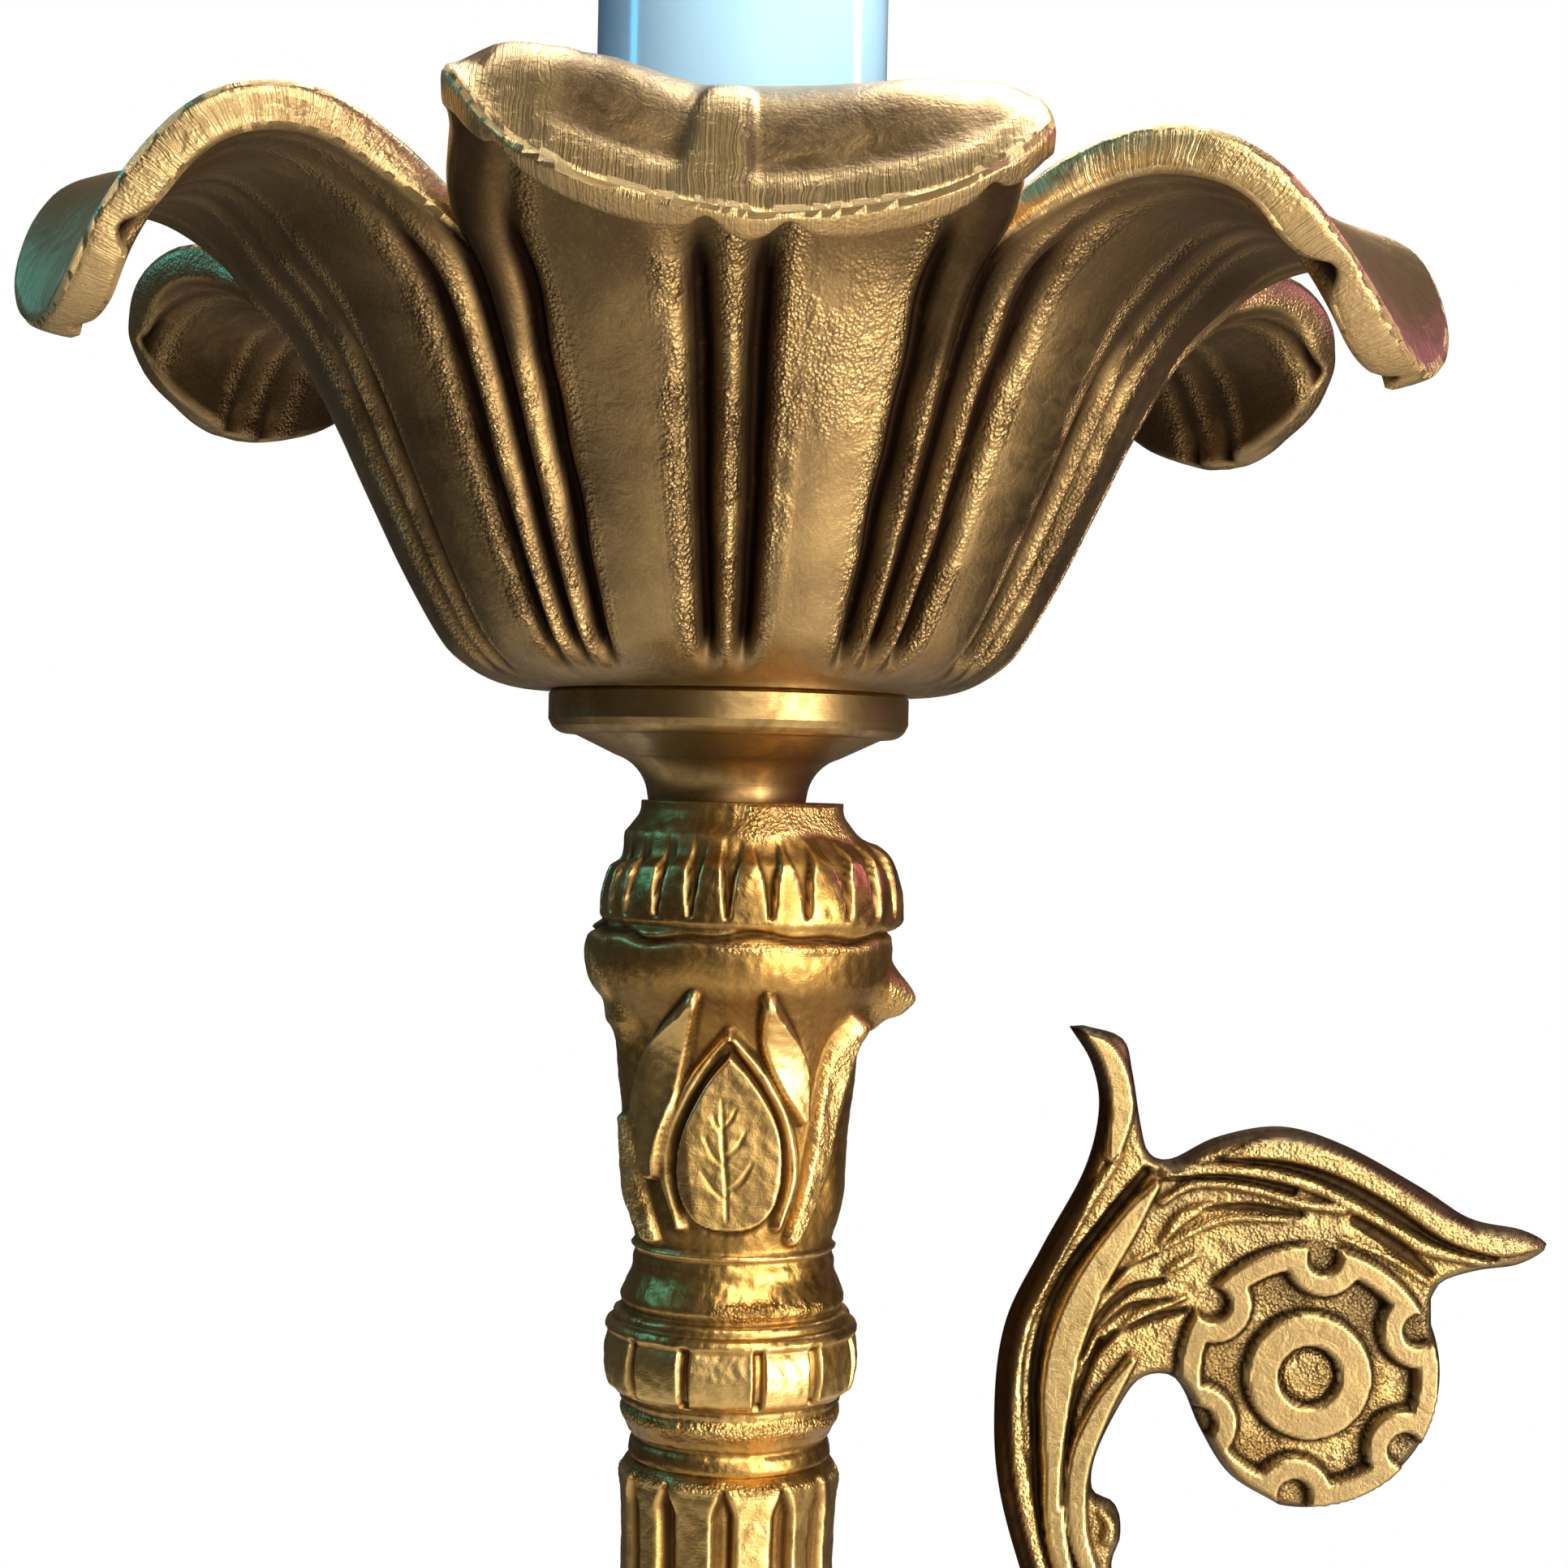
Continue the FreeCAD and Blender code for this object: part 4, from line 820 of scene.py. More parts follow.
def calyx_relief(t):
    """Front and back: an engraved almond in its sheath; each side: a leaf that curls outwards."""
    u, z = t.face, t.z
    here = ramp(z, -38.0, -36.6) * ramp(z, -14.6, -16.2)
    dist, _ = edge_distance(u, z, ALMOND)
    almond = ramp(dist, -0.16, 0.16) * here
    flat = 9.95 / np.maximum(t.turning, 0.55) - t.radius
    t.add(almond, np.clip(flat, 0.2, 1.6))
    groove = ramp(dist, -0.85, -0.2) * ramp(dist, 0.12, -0.12) * here
    t.add(groove, -0.30)
    t.mark("grime_and_shade", groove * ramp(z, -20.0, -22.0))
    t.mark("filed", 0.45 * almond * ramp(dist, 0.1, 0.4))
    for mark in TWIG:
        cut = inside(u, z, mark, 0.11) * almond
        t.add(cut, -0.16)
        t.mark("grime_and_shade", 0.35 * cut)
    for path, height in ((LEFT_RIDGE, 0.95), (RIGHT_RIDGE, 0.95)):
        share = ramp(nearest(u, z, path), 0.42, -0.30) * here * (1 - almond)
        t.add(share, height)
        t.mark("wear", 0.55 * share)
    for path, height, finish in ((RIGHT_LEAF, 1.35, 1.0), (LEFT_LEAF, 1.20, 0.6)):
        gap = nearest(u, z, path) - 0.18
        share = ramp(gap, 0.25, -0.15) * here
        t.add(share, height + 0.25 * ramp(z, -24.0, -17.0))
        t.mark("filed", 0.6 * finish * share)
        t.mark("wear", finish * share * ramp(gap, -0.1, -0.4))
        t.mark("dull", (1 - finish) * share)
    for path, height in ((SIDE_RIGHT, 0.85), (SIDE_LEFT, 0.80), (LEFT_CURL, 0.12)):
        share = ramp(nearest(u, z, path), 0.45, -0.2) * ramp(z, -38.0, -36.6) * ramp(z, -11.8, -13.2)
        t.add(share, height)
        t.mark("wear", 0.8 * share)
        t.mark("sandy", 0.5 * share)
    side = np.abs(np.abs(t.degrees) - 90.0)
    body = ramp(side, 38.0, 22.0) * ramp(z, -38.0, -33.0) * ramp(z, -16.4, -18.6)
    t.add(body, 0.55 + 0.5 * ramp(z, -30.0, -21.0))
    right = t.degrees > 0
    tip_z = np.where(right, -15.4, -15.6)
    curl = np.exp(-(side / np.where(right, 13.0, 24.0)) ** 2)
    above = np.where(right, 1.1, 2.6)
    below = np.where(right, 2.5, 3.4)
    lobe = np.where(z > tip_z, np.exp(-((z - tip_z) / above) ** 2), np.exp(-((z - tip_z) / below) ** 2))
    reach = np.where(right, 3.2, 0.3)
    t.add(curl * lobe, reach)
    t.mark("sandy", curl * lobe)
    t.mark("wear", 0.7 * curl * lobe)
    t.mark("dull", 0.5 * here * (1 - almond))
    t.mark("grime_and_shade", 0.35 * here * ramp(t.depth, 0.35, 0.0))


def band_relief(t):
    """The ring under the calyx, the faceted band and the bead over the joint."""
    z = t.z
    t.add(ridge(z + 38.0, 0.28), 0.45)
    t.add(ridge(z + 43.1, 0.26), -0.42)
    t.mark("sandy", ridge(z + 42.2, 0.6) * ramp(t.degrees, -15.0, 8.0) * ramp(t.degrees, 60.0, 45.0))
    centres = [-65.0, -35.0, -3.5, 27.5, 57.0, 87.0, 117.0, 147.0, 177.0, -153.0, -123.0, -94.0]
    seams = [-80.0, -49.5, -20.4, 13.4, 41.5, 72.0, 102.0, 132.0, 162.0, -168.0, -138.0, -108.0]
    off = t.spread(centres)
    seam = t.spread(seams)
    band = ramp(z, -50.2, -49.7) * ramp(z, -45.0, -45.5)
    flat = 10.8 / np.cos(np.radians(np.clip(off, -17, 17))) - 0.45 * ((z + 47.6) / 2.5) ** 2 - t.radius
    notch = ramp(np.abs(seam) * 0.19, 0.62, 0.30) * ramp(z, -50.6, -50.0) * ramp(z, -44.9, -45.6)
    t.depth = t.depth * (1 - band) + band * flat
    t.add(notch, -0.75)
    t.mark("filed", 0.7 * band * (1 - notch))
    t.mark("wear", 0.9 * band * (1 - notch) * ramp(np.abs(off), 14.0, 10.0))
    t.add(ridge(z + 50.75, 0.22), -0.35)
    t.add(ridge(z + 44.1, 0.22), -0.25)
    bead = ridge(z + 52.2, 0.7)
    t.mark("sandy", bead)
    t.mark("wear", 0.8 * bead * ramp(np.abs(t.degrees - 15.0), 45.0, 25.0))
    t.add(ridge(z + 54.4, 0.30), -0.25)


def upper_stem():
    """The cast stem: knop, calyx, ring and faceted band on one turning."""
    t = Turning("upper_stem_cast", STEM_LINE, 0.18, 420)
    knop_relief(t)
    calyx_relief(t)
    band_relief(t)
    t.roughen(0.10, 5.0, 11)
    t.roughen(0.035, 1.2, 12)
    ends = ramp(t.z, -56.2, -55.9) * ramp(t.z, 0.0, -0.25)
    t.depth *= ends
    t.settle()
    return t.build("stand", STEM_BRASS, STEM_X, ROD_HOLE, ["upper_stem"])


def fluted_shaft():
    """The shaft between the ring and the upper stem: twelve flat reeds parted by grooves."""
    low = SHAFT_LOW - JOINT
    line = [(12.35, low), (12.4, low + 0.4), (12.4, low + 2.0), (12.0, low + 3.2), (11.0, low + 4.3),
            (9.8, low + 5.2), (9.5, low + 6.6), (9.45, low + 9.0), (9.3, -80.0), (9.1, -66.0),
            (9.2, -61.0), (9.3, -59.0), (9.35, -58.0), (9.25, -57.2), (8.95, -56.6), (8.55, -56.2)]
    t = Turning("fluted_shaft_cast", line, 0.27, 288)
    seams = [-1.5 + 30.0 * k + 2.5 * math.sin(2.1 * k) for k in range(12)]
    seam = t.spread(seams)
    mid = t.spread([angle + 15.0 for angle in seams])
    z = t.z
    reeds = ramp(z, -57.0, -57.5) * ramp(z, low + 8.0, low + 8.8)
    half = 0.75 * ramp(z, -56.8, -59.6) + 0.12
    gap = arc(np.abs(seam), 9.2)
    cut = ramp(gap, half + 0.35, half - 0.45) * ramp(z, -56.7, -57.3) * ramp(z, low + 7.4, low + 9.0)
    flat = 9.28 / np.cos(np.radians(np.clip(mid, -16, 16))) - 9.3
    t.add(reeds, np.clip(flat, -0.1, 0.3))
    t.add(cut, -1.15)
    t.marks["filed"] = 0.45 * reeds * (1 - cut)
    t.marks["wear"] = 0.55 * reeds * (1 - cut) * ramp(gap, 0.6, 1.4)
    t.marks["grime_and_shade"] = 0.5 * cut
    top = ridge(z + 57.1, 0.35)
    t.marks["sandy"] = top
    t.roughen(0.06, 6.0, 21)
    t.roughen(0.03, 1.3, 22)
    t.depth *= ramp(z, -56.2, -56.6) * ramp(z, low, low + 0.5)
    t.settle()
    return t.build("stand", STEM_BRASS, STEM_X, ROD_HOLE, ["fluted_shaft"])


# ---------------------------------------------------------------- scroll arm

# outline of the scroll in its own plane: across from the axis, height over the cup's joint
SCROLL_BACK = [(30, -18.8), (32, -22), (32.7, -26), (31.5, -31.3), (28, -38), (25, -44.5), (24.2, -52),
               (25, -60), (28.5, -71), (33, -84), (35.2, -94.5), (33, -102), (28, -108.5), (21, -111.8),
               (13.2, -111.2)]
SCROLL_FRONT = [(13.2, -120.3), (21.5, -120.6), (30, -117.5), (37, -111), (42, -103), (43.5, -94),
                (42, -84.5), (38, -74), (34.6, -66), (35.2, -62.5), (34.8, -60), (32.8, -58.8),
                (32.8, -56), (34.5, -52), (36.5, -49), (39, -48.5), (40.5, -50), (42, -53.3), (44.5, -57)]
SCROLL_TIP = [(61.5, -41.5), (62.5, -40), (65.5, -39), (69, -38.4), (71.4, -36.8), (69.5, -35.6),
              (65, -34.7)]
SCROLL_CREST = [(65, -34.7), (60.5, -32), (54, -28.6), (48.5, -27.1), (43, -28.1), (39, -30.1)]
SCROLL_HORN = [(39, -30.1), (37, -29.5), (36.2, -27), (35.4, -22.5), (34.5, -19.7), (31.2, -18.7)]
DISC_AT = (50.8, -48.1)
DISC_RADIUS = 11.6
DISC_EDGE = (-100.0, 22.0)        # the disc's free edge, in degrees from straight outwards
# raised strokes: finish, height over the floor, stations (across, height, half width)
SCROLL_RIBS = [
    ("flat", 1.15, [(31, -19, 0.25), (33, -21, 1.0), (34.3, -25, 1.1), (33.7, -29.5, 0.6)]),
    ("flat", 1.25, [(37.5, -32, 0.25), (35, -35.5, 1.0), (31.5, -41.5, 1.35), (29.5, -48, 1.4),
                    (29.2, -56, 0.9), (30, -65, 0.95), (34.5, -77, 1.3), (39, -91, 1.3),
                    (36.5, -103, 1.3), (28.5, -112.5, 1.25), (20, -115.5, 1.1)]),
    ("flat", 1.20, [(35.7, -47, 0.35), (33, -51.5, 0.85), (31.3, -56.5, 1.0), (31.5, -62.5, 0.8),
                    (35, -71, 0.6), (39.5, -82, 0.6), (41.7, -93, 0.6), (39.5, -103.5, 0.6),
                    (33.5, -112, 0.6)]),
    ("worn", 0.80, [(34.4, -29.5, 0.25), (31.5, -34, 0.5), (28, -40.5, 0.55), (26, -46.5, 0.55),
                    (26, -54, 0.6), (27.5, -62, 0.65), (31, -73, 0.6), (35, -84.5, 0.6), (36.5, -94, 0.6),
                    (32.5, -105, 0.6), (25, -111.8, 0.6), (20, -113, 0.6)]),
    ("worn", 1.05, [(43.4, -29.5, 0.1), (47.5, -28.8, 0.8), (52, -29.5, 1.0), (57.5, -32.3, 0.75),
                    (62.5, -35.4, 0.85), (67, -36.6, 0.9), (70, -36.6, 0.25)]),
    ("worn", 0.90, [(38.3, -31, 0.4), (44, -30.6, 0.4), (50, -31.6, 0.45), (55, -33.9, 0.45),
                    (60.5, -36.9, 0.5), (66, -38.2, 0.2)]),
    ("worn", 0.75, [(38, -33.5, 0.3), (41, -31.9, 0.3), (46, -32.3, 0.3), (50, -33.4, 0.35),
                    (53.5, -33.8, 0.4)]),
    ("worn", 0.85, [(38, -37, 0.15), (39.8, -34.8, 0.5), (42.3, -33.6, 0.15)]),
    ("worn", 0.60, [(38.2, -37.5, 0.15), (43, -35, 0.3), (48.7, -34.8, 0.2)]),
    ("worn", 0.70, [(38.6, -39.4, 0.15), (39.8, -38.7, 0.35), (41, -38, 0.2)]),
    ("worn", 0.55, [(53.3, -36.2, 0.15), (57.5, -37.9, 0.2), (61, -40, 0.2)]),
    ("worn", 0.60, [(33.2, -46.6, 0.15), (36, -43.5, 0.3), (40.2, -41.6, 0.2)]),
    ("worn", 0.55, [(34, -41, 0.15), (35.6, -39, 0.3), (37.6, -37.8, 0.2)]),
    ("worn", 0.65, [(34, -62.5, 0.55), (34.2, -61.2, 0.5), (33.4, -60.3, 0.3)]),
]
# grooves: depth, stations
SCROLL_CUTS = [
    (0.85, [(36.7, -31, 0.35), (33.5, -35, 0.45), (29.5, -40.7, 0.35), (27.6, -47, 0.35),
            (27.6, -54.5, 0.3), (28.5, -63, 0.25), (32.5, -74, 0.3), (37, -87.5, 0.3), (37, -98.5, 0.3),
            (31.5, -107.8, 0.3), (20, -114, 0.3)]),
    (0.80, [(33, -45.6, 0.2), (31, -50.8, 0.3), (30.2, -55.3, 0.25), (29.9, -59.5, 0.1)]),
    (0.45, [(33, -41.4, 0.15), (34.7, -39.6, 0.2), (37.6, -38, 0.15)]),
    (0.60, [(31.3, -47, 0.2), (32.8, -43.8, 0.3), (35.3, -41.2, 0.35), (38.3, -40.3, 0.2)]),
    (0.50, [(31.8, -47.8, 0.15), (34, -45.2, 0.25), (37, -43.7, 0.3), (40.4, -42.8, 0.25)]),
    (0.40, [(33, -44.4, 0.1), (35.5, -42.6, 0.2), (39, -41.9, 0.1)]),
    (0.55, [(42.7, -29.8, 0.1), (48.5, -30.3, 0.25), (53.5, -31.7, 0.45), (58, -34.1, 0.45),
            (62.5, -36.8, 0.2), (66.8, -37.9, 0.1)]),
    (0.40, [(38, -31.6, 0.1), (43.5, -31.3, 0.2), (49.3, -32.3, 0.3)]),
    (0.45, [(41.6, -34, 0.15), (45.5, -33.8, 0.25), (50, -34.4, 0.2)]),
    (0.50, [(54.7, -34.8, 0.45), (58, -36.7, 0.6), (61.2, -39.2, 0.25)]),
]
DISC_NOTCHES = [24.0 + 60.0 * k for k in range(6)]
NOTCH_CIRCLE = 10.25
NOTCH_RADIUS = 1.4


def scroll_outline():
    """The closed outline: the back, the front up to the disc, the disc's arc, the leaf and the horn."""
    turn = np.radians(np.linspace(*DISC_EDGE, 36))
    arc = np.column_stack([DISC_AT[0] + DISC_RADIUS * np.cos(turn), DISC_AT[1] + DISC_RADIUS * np.sin(turn)])
    front = stroke(SCROLL_FRONT + [tuple(arc[0])])
    leaf = stroke(SCROLL_TIP + SCROLL_CREST[1:] + SCROLL_HORN[1:])
    return np.vstack([stroke(SCROLL_BACK), front, arc[1:], leaf])


def scroll_height(u, z, rim):
    """Half thickness of the scroll, with marks: ribs over a sandy floor, and the rosette."""
    back = nearest(u, z, SCROLL_BACK)
    crest = nearest(u, z, SCROLL_CREST)
    marks = {mark: np.zeros_like(u) for mark in ("grime_and_shade", "sandy", "filed", "dull", "wear")}
    height = np.full_like(u, 1.45)
    marks["sandy"] += 0.45
    for finish, rise, path in SCROLL_RIBS:
        gap = nearest(u, z, path)
        share = ramp(gap, 0.20, -0.14)
        crown = 0.0 if finish == "flat" else 0.18
        height = np.maximum(height, 1.45 + share * (rise - crown * ramp(gap, -0.4, 0.1)))
        if finish == "flat":
            raise_mark(marks, "filed", 0.45 * share)
            raise_mark(marks, "wear", 0.85 * ramp(gap, 0.0, -0.2))
            marks["sandy"] = np.minimum(marks["sandy"], 1 - share)
        else:
            raise_mark(marks, "wear", 0.75 * ramp(gap, 0.05, -0.15))
            raise_mark(marks, "sandy", 0.55 * share)
    for drop, path in SCROLL_CUTS:
        share = ramp(nearest(u, z, path), 0.22, -0.15)
        height = height - share * drop * 0.8
        raise_mark(marks, "grime_and_shade", 0.8 * share)
        marks["sandy"] *= 1 - share
    spots = np.stack([u, 0 * u, z], axis=-1).reshape(-1, 3)
    lumps = smooth_noise(spots, 2.2, 31, 4).reshape(u.shape)
    height = height + 0.10 * lumps * (1 - marks["filed"] / 0.45)
    # the rosette: a ribbon that dips round six notches, a ring, and a coarse floor
    off_u, off_z = u - DISC_AT[0], z - DISC_AT[1]
    reach = np.hypot(off_u, off_z)
    gear = 11.15 - reach
    for angle in DISC_NOTCHES:
        turn = math.radians(angle)
        notch_u, notch_z = NOTCH_CIRCLE * math.cos(turn), NOTCH_CIRCLE * math.sin(turn)
        gear = np.minimum(gear, np.hypot(off_u - notch_u, off_z - notch_z) - NOTCH_RADIUS)
    on_disc = ramp(reach, 11.9, 11.5)
    ribbon = ramp(gear, -0.10, 0.12) * ramp(gear, 2.02, 1.82)
    ring = ramp(reach, 5.45, 5.27) * ramp(reach, 2.5, 2.7)
    dish = ramp(reach, 2.6, 1.6)
    disc = 1.25 + 0.14 * lumps + 0.75 * dish
    disc = np.maximum(disc, 1.25 + 1.50 * np.maximum(ribbon, ring))
    height = height * (1 - on_disc) + disc * on_disc
    raised = np.maximum(ribbon, ring) * on_disc
    for mark in ("grime_and_shade", "filed", "wear"):
        marks[mark] = marks[mark] * (1 - on_disc)
    marks["filed"] = marks["filed"] + 0.25 * raised
    marks["dull"] = raised
    marks["sandy"] = marks["sandy"] * (1 - on_disc) + on_disc * (1 - raised)
    moat = ramp(reach, 6.2, 5.5) * ramp(reach, 5.2, 5.4)
    moat = moat + ramp(gear, 2.0, 2.1) * ramp(gear, 2.6, 2.2) * ramp(reach, 5.5, 5.9)
    raise_mark(marks, "grime_and_shade", 0.75 * moat * on_disc * (1 - raised))
    # the casting draws in towards its faces
    draft = ramp(rim, 0.0, 0.6)
    broad = 0.75 + 0.65 * ramp(z, -29.0, -38.0)
    slant = np.minimum(ramp(back, -0.3, broad), ramp(crest, -0.2, 0.85))
    height = 0.55 + (height - 0.55) * draft ** 0.5 * slant
    wall_side = np.maximum(ramp(back, broad + 0.05, broad - 0.15), ramp(crest, 0.95, 0.75))
    for mark in ("filed", "wear"):
        marks[mark] = marks[mark] * ramp(rim, 0.55, 0.95)
    raise_mark(marks, "dull", ramp(rim, 0.9, 0.5))
    # painted shade along the edge and on the drafted side walls
    raise_mark(marks, "grime_and_shade", 0.6 * ramp(rim, 0.5, 0.2))
    raise_mark(marks, "grime_and_shade", 0.85 * wall_side)
    for mark in ("filed", "wear", "sandy"):
        marks[mark] = marks[mark] * (1 - wall_side)
    marks["sandy"] *= ramp(rim, 0.4, 0.9)
    return height, marks


def scroll_arm():
    """The scroll as two relief faces on a fine grid whose border is drawn on to the outline."""
    step = 0.21
    outline = scroll_outline()
    low = outline.min(axis=0) - step
    high = outline.max(axis=0) + step
    across = np.arange(low[0], high[0] + step, step)
    upward = np.arange(low[1], high[1] + step, step)
    u, z = np.meshgrid(across, upward)
    rim, place = edge_distance(u, z, outline)
    keep = rim > -0.5 * step
    cell = keep[:-1, :-1] & keep[1:, :-1] & keep[:-1, 1:] & keep[1:, 1:]
    # points of the border, which lack a cell on some side, slide on to the outline
    padded = np.pad(cell, 1)
    around = [padded[:-1, :-1], padded[1:, :-1], padded[:-1, 1:], padded[1:, 1:]]
    near = np.any(around, axis=0) & ((rim < 0.3 * step) | ~np.all(around, axis=0))
    u = np.where(near, place[..., 0], u)
    z = np.where(near, place[..., 1], z)
    rim = np.where(near, 0.0, rim)
    height, marks = scroll_height(u, z, rim)
    under, over = hollows(np.where(keep, height, 1.4), 5, wrap=False)
    marks["grime_and_shade"] = np.clip(marks["grime_and_shade"] + under / 0.30, 0, 1)
    rubbed = over / 0.30 * ramp(rim, 0.6, 1.0) * (1 - 0.7 * marks["dull"])
    marks["wear"] = np.clip(marks["wear"] + rubbed, 0, 1) * (1 - 0.8 * marks["grime_and_shade"])
    marks["run"] = 0.6 * u - 0.8 * z
    used = np.any(around, axis=0)
    index = -np.ones(used.shape, dtype=int)
    index[used] = np.arange(used.sum())
    front = np.column_stack([u[used], -height[used], z[used]])
    count = len(front)
    back = front * [1, -1, 1]
    corners = [index[:-1, :-1], index[:-1, 1:], index[1:, 1:], index[1:, :-1]]
    quads = np.column_stack([corner[cell] for corner in corners])
    faces = quads.tolist()
    faces += [(s + count, r + count, q + count, p + count) for p, q, r, s in faces]
    # border edges are those that belong to a single cell
    ends = np.vstack([quads[:, [k, (k + 1) % 4]] for k in range(4)])
    key = np.sort(ends, axis=1)
    _, first, times = np.unique(key, axis=0, return_index=True, return_counts=True)
    for start, end in ends[first[times == 1]]:
        faces.append((int(end), int(start), int(start) + count, int(end) + count))
    points = np.vstack([front, back])
    points[:, 2] += JOINT
    all_marks = {mark: np.concatenate([grid[used], grid[used]]) for mark, grid in marks.items()}
    piece = make_mesh("scroll_arm_cast", points, faces, all_marks, "arm", SCROLL_BRASS,
                      ["scroll_arm"])
    return weld(piece, 0.001)


# ---------------------------------------------------------------- foot and knop

def lower_knop():
    """The melon knop: twelve full lobes parted by grooves, between two beads."""
    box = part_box("lower_knop")
    low = box[0][2] / MM - JOINT
    line = [(10.5, 0.0), (11.3, 0.9), (11.5, 2.0), (11.2, 3.2), (10.4, 4.1), (9.7, 5.3), (11.6, 6.6),
            (14.6, 9.0), (17.0, 12.4), (18.0, 16.5), (17.0, 20.6), (14.6, 24.0), (11.8, 26.4),
            (9.9, 27.6), (10.6, 28.4), (11.6, 29.4), (12.3, 30.6), (12.45, 31.8), (12.4, 34.0)]
    t = Turning("lower_knop_cast", [(radius, low + height) for radius, height in line], 0.3, 300)
    seam = t.spread([30.0 * k + 15.0 for k in range(12)])
    lobe = t.spread([30.0 * k for k in range(12)])
    up = t.z - low
    melon = ramp(up, 6.0, 8.5) * ramp(up, 27.0, 24.6)
    gap = arc(np.abs(seam), t.radius)
    t.add(melon, 0.55 * np.clip(1 - (lobe / 13.0) ** 2, 0, 1) - 0.2)
    t.add(melon * ridge(gap, 0.75), -0.95)
    vein = ridge(arc(np.abs(lobe), t.radius), 0.28) * ramp(up, 9.0, 11.0) * ramp(up, 22.5, 20.5)
    t.add(vein, -0.28)
    t.marks["wear"] = 0.55 * melon * ramp(np.abs(up - 16.5), 9.0, 4.0) * ramp(gap, 0.9, 1.6)
    t.marks["sandy"] = 0.8 * ramp(up, 5.6, 4.6) + 0.8 * ramp(up, 27.8, 28.6) * ramp(up, 31.0, 30.0)
    t.roughen(0.07, 5.0, 51)
    t.roughen(0.03, 1.4, 52)
    t.depth *= ramp(up, 0.0, 0.5) * ramp(up, 34.0, 33.5)
    t.settle()
    return t.build("stand", STEM_BRASS, 0.0, ROD_HOLE, ["lower_knop"])


def base_dome():
    """The bell of the foot, its lobes and grooves echoing the cup's petals, hollow underneath."""
    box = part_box("base_dome")
    low = box[0][2] / MM - JOINT
    inner = [(ROD_HOLE, 39.0), (9.0, 39.0), (16.6, 39.0), (18.4, 37.6), (21.5, 32.0), (27.0, 24.0),
             (34.0, 17.5), (44.0, 11.2), (53.0, 7.2), (58.5, 4.6), (62.0, 2.2), (63.8, 0.2)]
    outer = [(64.6, 0.0), (67.4, 0.0), (68.0, 0.8), (67.9, 2.0), (67.0, 3.2), (65.2, 4.5), (64.0, 5.2),
             (63.4, 6.3), (58.0, 9.0), (51.0, 12.4), (44.0, 16.4), (38.0, 20.6), (32.6, 25.6),
             (28.2, 30.8), (25.0, 35.4), (23.2, 39.0), (22.5, 41.4), (22.3, 44.0), (21.8, 45.6),
             (21.0, 46.0), (12.0, 46.0), (ROD_HOLE, 46.0)]
    t = Turning("base_dome_cast", [(radius, low + height) for radius, height in inner + outer], 0.42, 420)
    row = np.arange(t.rows)[:, None] * np.ones((1, t.columns))
    turn_row = int(np.argmax(t.line[:, 0]))
    outside = ramp(row, turn_row + 2, turn_row + 8)
    up = t.z - low
    bell = outside * ramp(t.radius, 63.2, 61.0) * ramp(t.radius, 23.4, 26.5)
    edge = arc(np.abs(t.spread([60.0 * k + 30.0 for k in range(6)])), t.radius)
    middle = arc(np.abs(t.spread([60.0 * k for k in range(6)])), t.radius)
    wide = 0.10 * t.radius
    cuts = ridge(edge, 1.0) + ridge(edge - wide, 1.1) + ridge(middle - 0.7 * wide, 0.9)
    t.add(bell * np.clip(cuts, 0, 1), -1.25)
    swell = np.clip(1 - ((edge - 0.30 * t.radius) / (0.2 * t.radius)) ** 2, 0, 1)
    t.add(bell * swell, 1.0)
    t.add(bell * ridge(middle, 0.9), 0.35)
    t.marks["grime_and_shade"] = 0.8 * bell * np.clip(cuts, 0, 1)
    strip = ridge(edge - 0.5 * wide, 0.8) + ridge(middle, 0.8)
    t.marks["sandy"] = np.clip(bell * strip + 0.8 * outside * ridge(up - 42.6, 1.3), 0, 1)
    t.marks["wear"] = 0.45 * bell * swell
    t.marks["dull"] = 0.6 * bell + (1 - outside)
    t.roughen(0.10, 9.0, 61)
    t.roughen(0.04, 1.8, 62)
    t.depth *= outside * ramp(t.radius, 21.5, 22.2)
    t.settle()
    piece = t.build("stand", CUP_BRASS, 0.0, ROD_HOLE, ["base_dome"])
    return add_bosses(piece, low)


BOSS_CIRCLE = 58.0                # how far the bosses stand from the axis
BOSS_RADIUS = 4.2
BOSS_HEIGHT = 5.8
BOSS_MIDDLE = 3.1                 # height of their middle over the dome's edge


def add_bosses(piece, low):
    """The three bosses inside the dome's edge that take the foot screws."""
    work = bmesh.new()
    work.from_mesh(piece.data)
    for angle in (-90.0, 30.0, 150.0):
        turn = math.radians(angle)
        across, along = BOSS_CIRCLE * math.cos(turn), BOSS_CIRCLE * math.sin(turn)
        at = Vector((across, along, JOINT + low + BOSS_MIDDLE)) * MM
        bmesh.ops.create_cone(work, cap_ends=True, segments=48, radius1=BOSS_RADIUS * MM,
                              radius2=BOSS_RADIUS * MM, depth=BOSS_HEIGHT * MM, matrix=Matrix.Translation(at))
    work.to_mesh(piece.data)
    work.free()
    return piece


upper_stem()
fluted_shaft()
scroll_arm()
lower_knop()
base_dome()


# ---------------------------------------------------------------- studio

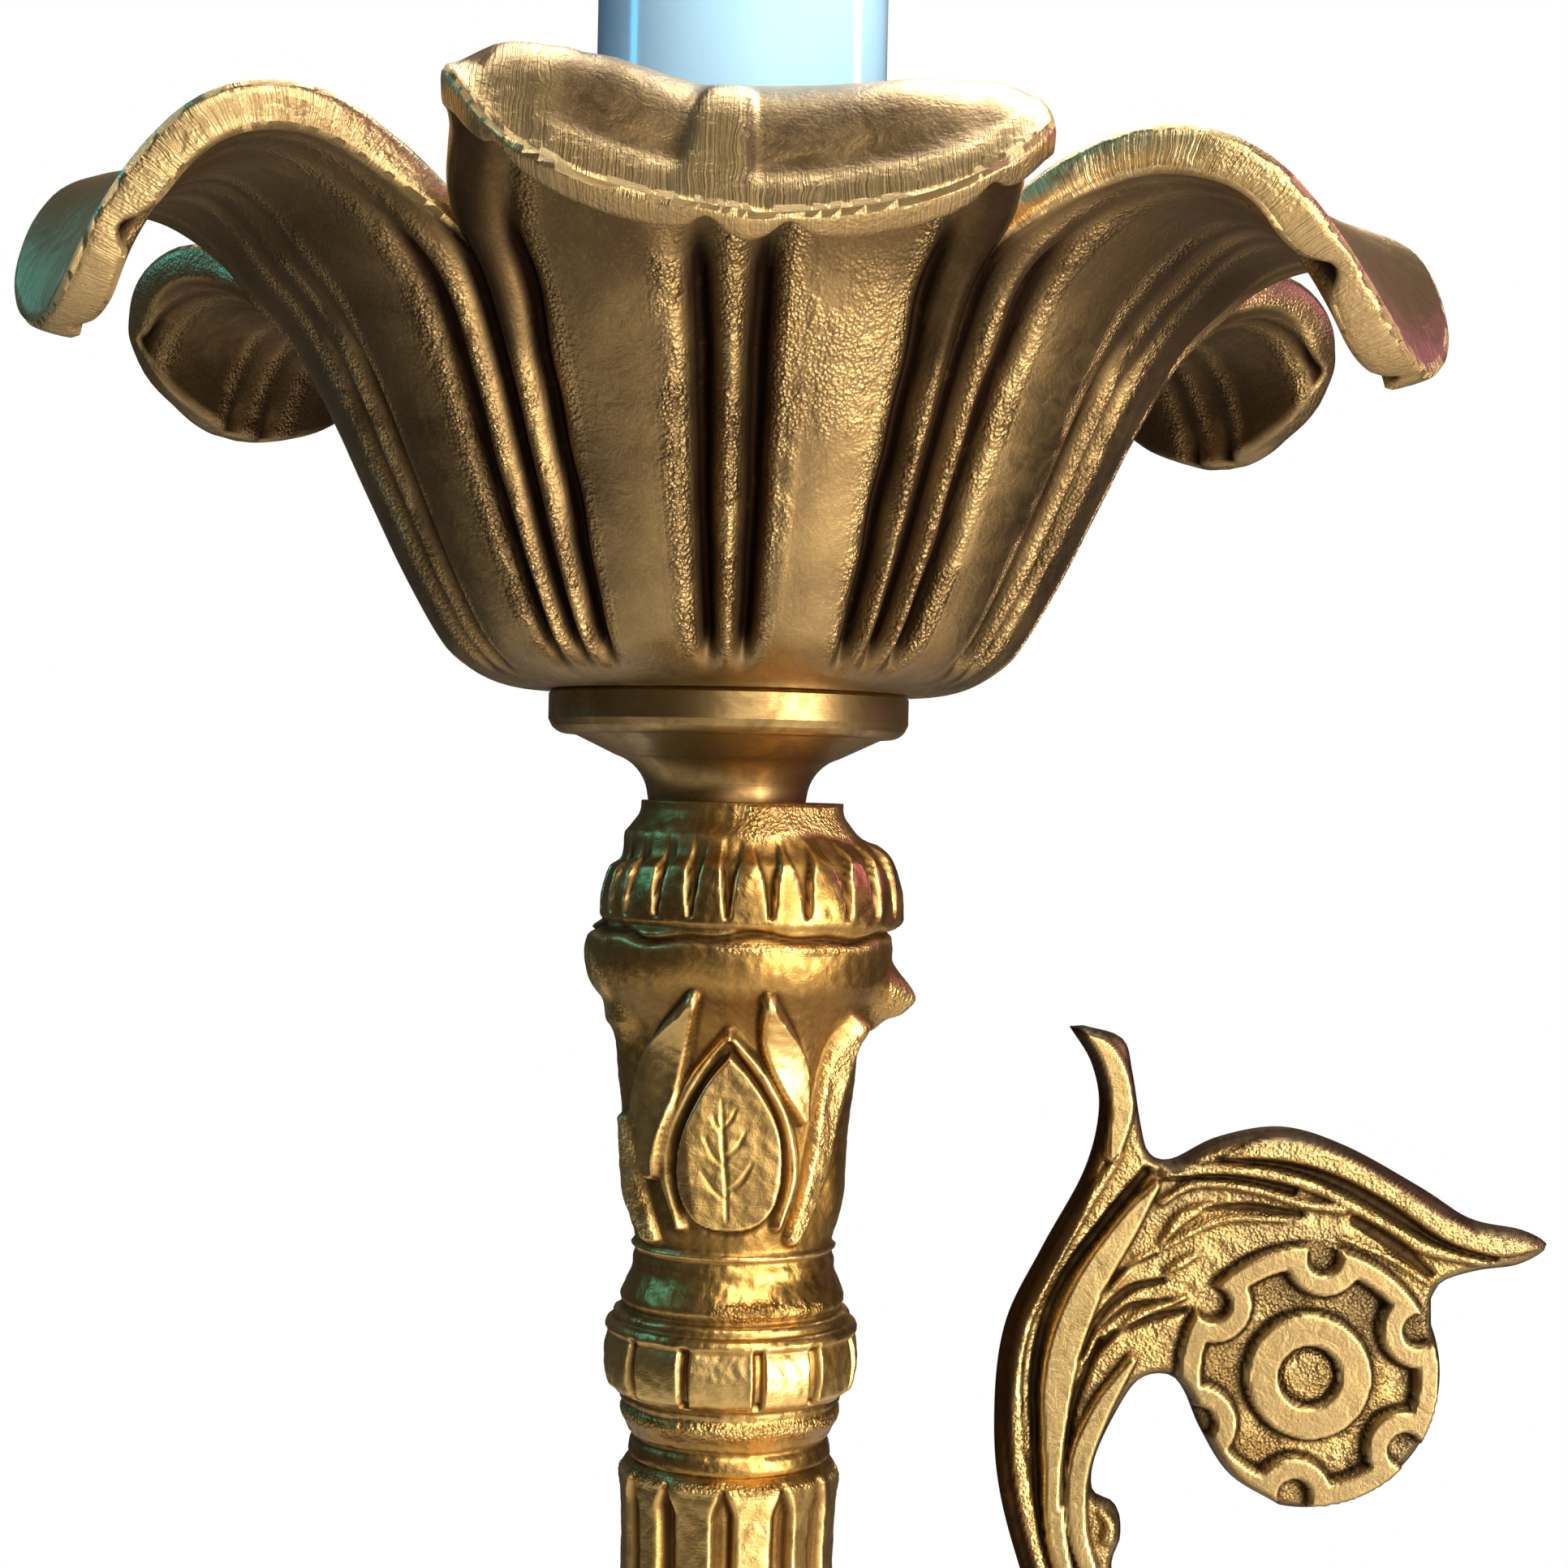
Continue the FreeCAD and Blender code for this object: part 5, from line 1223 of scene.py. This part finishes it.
# name, place in metres, width and height in metres, watts, colour
LIGHTS = [
    ("key", (0.35, -0.36, 0.19), (0.22, 0.22), 3.2, (1.0, 0.93, 0.80)),
    ("key_high", (0.16, -0.42, 0.60), (0.22, 0.22), 2.6, (1.0, 0.94, 0.84)),
    ("front", (0.10, -0.60, 0.27), (0.24, 0.24), 0.40, (1.0, 0.97, 0.92)),
    ("overhead", (0.06, 0.24, 0.74), (0.30, 0.30), 3.7, (1.0, 0.95, 0.86)),
    ("teal", (-0.42, 0.02, 0.50), (0.06, 0.20), 0.4, (0.08, 0.6, 1.0)),
    ("magenta", (0.45, 0.10, 0.45), (0.06, 0.20), 0.35, (0.75, 0.25, 0.75)),
]


def area_light(name, at, aim, size, power, colour):
    data = bpy.data.lights.new(name, "AREA")
    data.shape = "RECTANGLE"
    data.size = size[0]
    data.size_y = size[1]
    data.energy = power
    data.color = colour
    lamp = bpy.data.objects.new(name, data)
    lamp.location = at
    lamp.rotation_euler = (Vector(aim) - Vector(at)).to_track_quat("-Z", "Y").to_euler()
    bpy.context.scene.collection.objects.link(lamp)


def studio():
    """White surroundings for the eye, dim ones for the metal, and the lights."""
    world = bpy.data.worlds.new("studio")
    bpy.context.scene.world = world
    world.use_nodes = True
    nodes = world.node_tree.nodes
    links = world.node_tree.links
    nodes.clear()
    seen = nodes.new("ShaderNodeBackground")
    seen.inputs["Color"].default_value = (1, 1, 1, 1)
    seen.inputs["Strength"].default_value = 1.0
    around = nodes.new("ShaderNodeBackground")
    around.inputs["Color"].default_value = (0.9, 0.86, 0.8, 1)
    around.inputs["Strength"].default_value = 0.07
    path = nodes.new("ShaderNodeLightPath")
    mix = nodes.new("ShaderNodeMixShader")
    out = nodes.new("ShaderNodeOutputWorld")
    links.new(path.outputs["Is Camera Ray"], mix.inputs["Fac"])
    links.new(around.outputs[0], mix.inputs[1])
    links.new(seen.outputs[0], mix.inputs[2])
    links.new(mix.outputs[0], out.inputs["Surface"])
    aim = (0.01, 0, (JOINT + 5) * MM)
    for name, at, size, power, colour in LIGHTS:
        area_light(name, at, aim, size, power, colour)


def floor():
    """A round pale table top."""
    bpy.ops.mesh.primitive_circle_add(vertices=96, radius=0.42, fill_type="NGON", location=(0, 0, 0))
    top = bpy.context.object
    top.name = "floor"
    paint = bpy.data.materials.new("floor_paint")
    paint.use_nodes = True
    shader = paint.node_tree.nodes["Principled BSDF"]
    shader.inputs["Base Color"].default_value = (0.66, 0.66, 0.65, 1)
    shader.inputs["Roughness"].default_value = 0.7
    top.data.materials.append(paint)


def camera():
    """About level with the joint between cup and stem, 230 mm in front of the axis."""
    distance = 230.0
    data = bpy.data.cameras.new("camera")
    data.lens = 61.2
    data.sensor_width = 36.0
    data.clip_start = 0.01
    eye = bpy.data.objects.new("camera", data)
    eye.location = Vector((4.9, -distance, JOINT + 1.6)) * MM
    eye.rotation_euler = (math.radians(90), math.radians(-1.2), 0)
    bpy.context.scene.collection.objects.link(eye)
    bpy.context.scene.camera = eye


studio()
floor()
camera()
bpy.context.scene.view_settings.view_transform = "Standard"
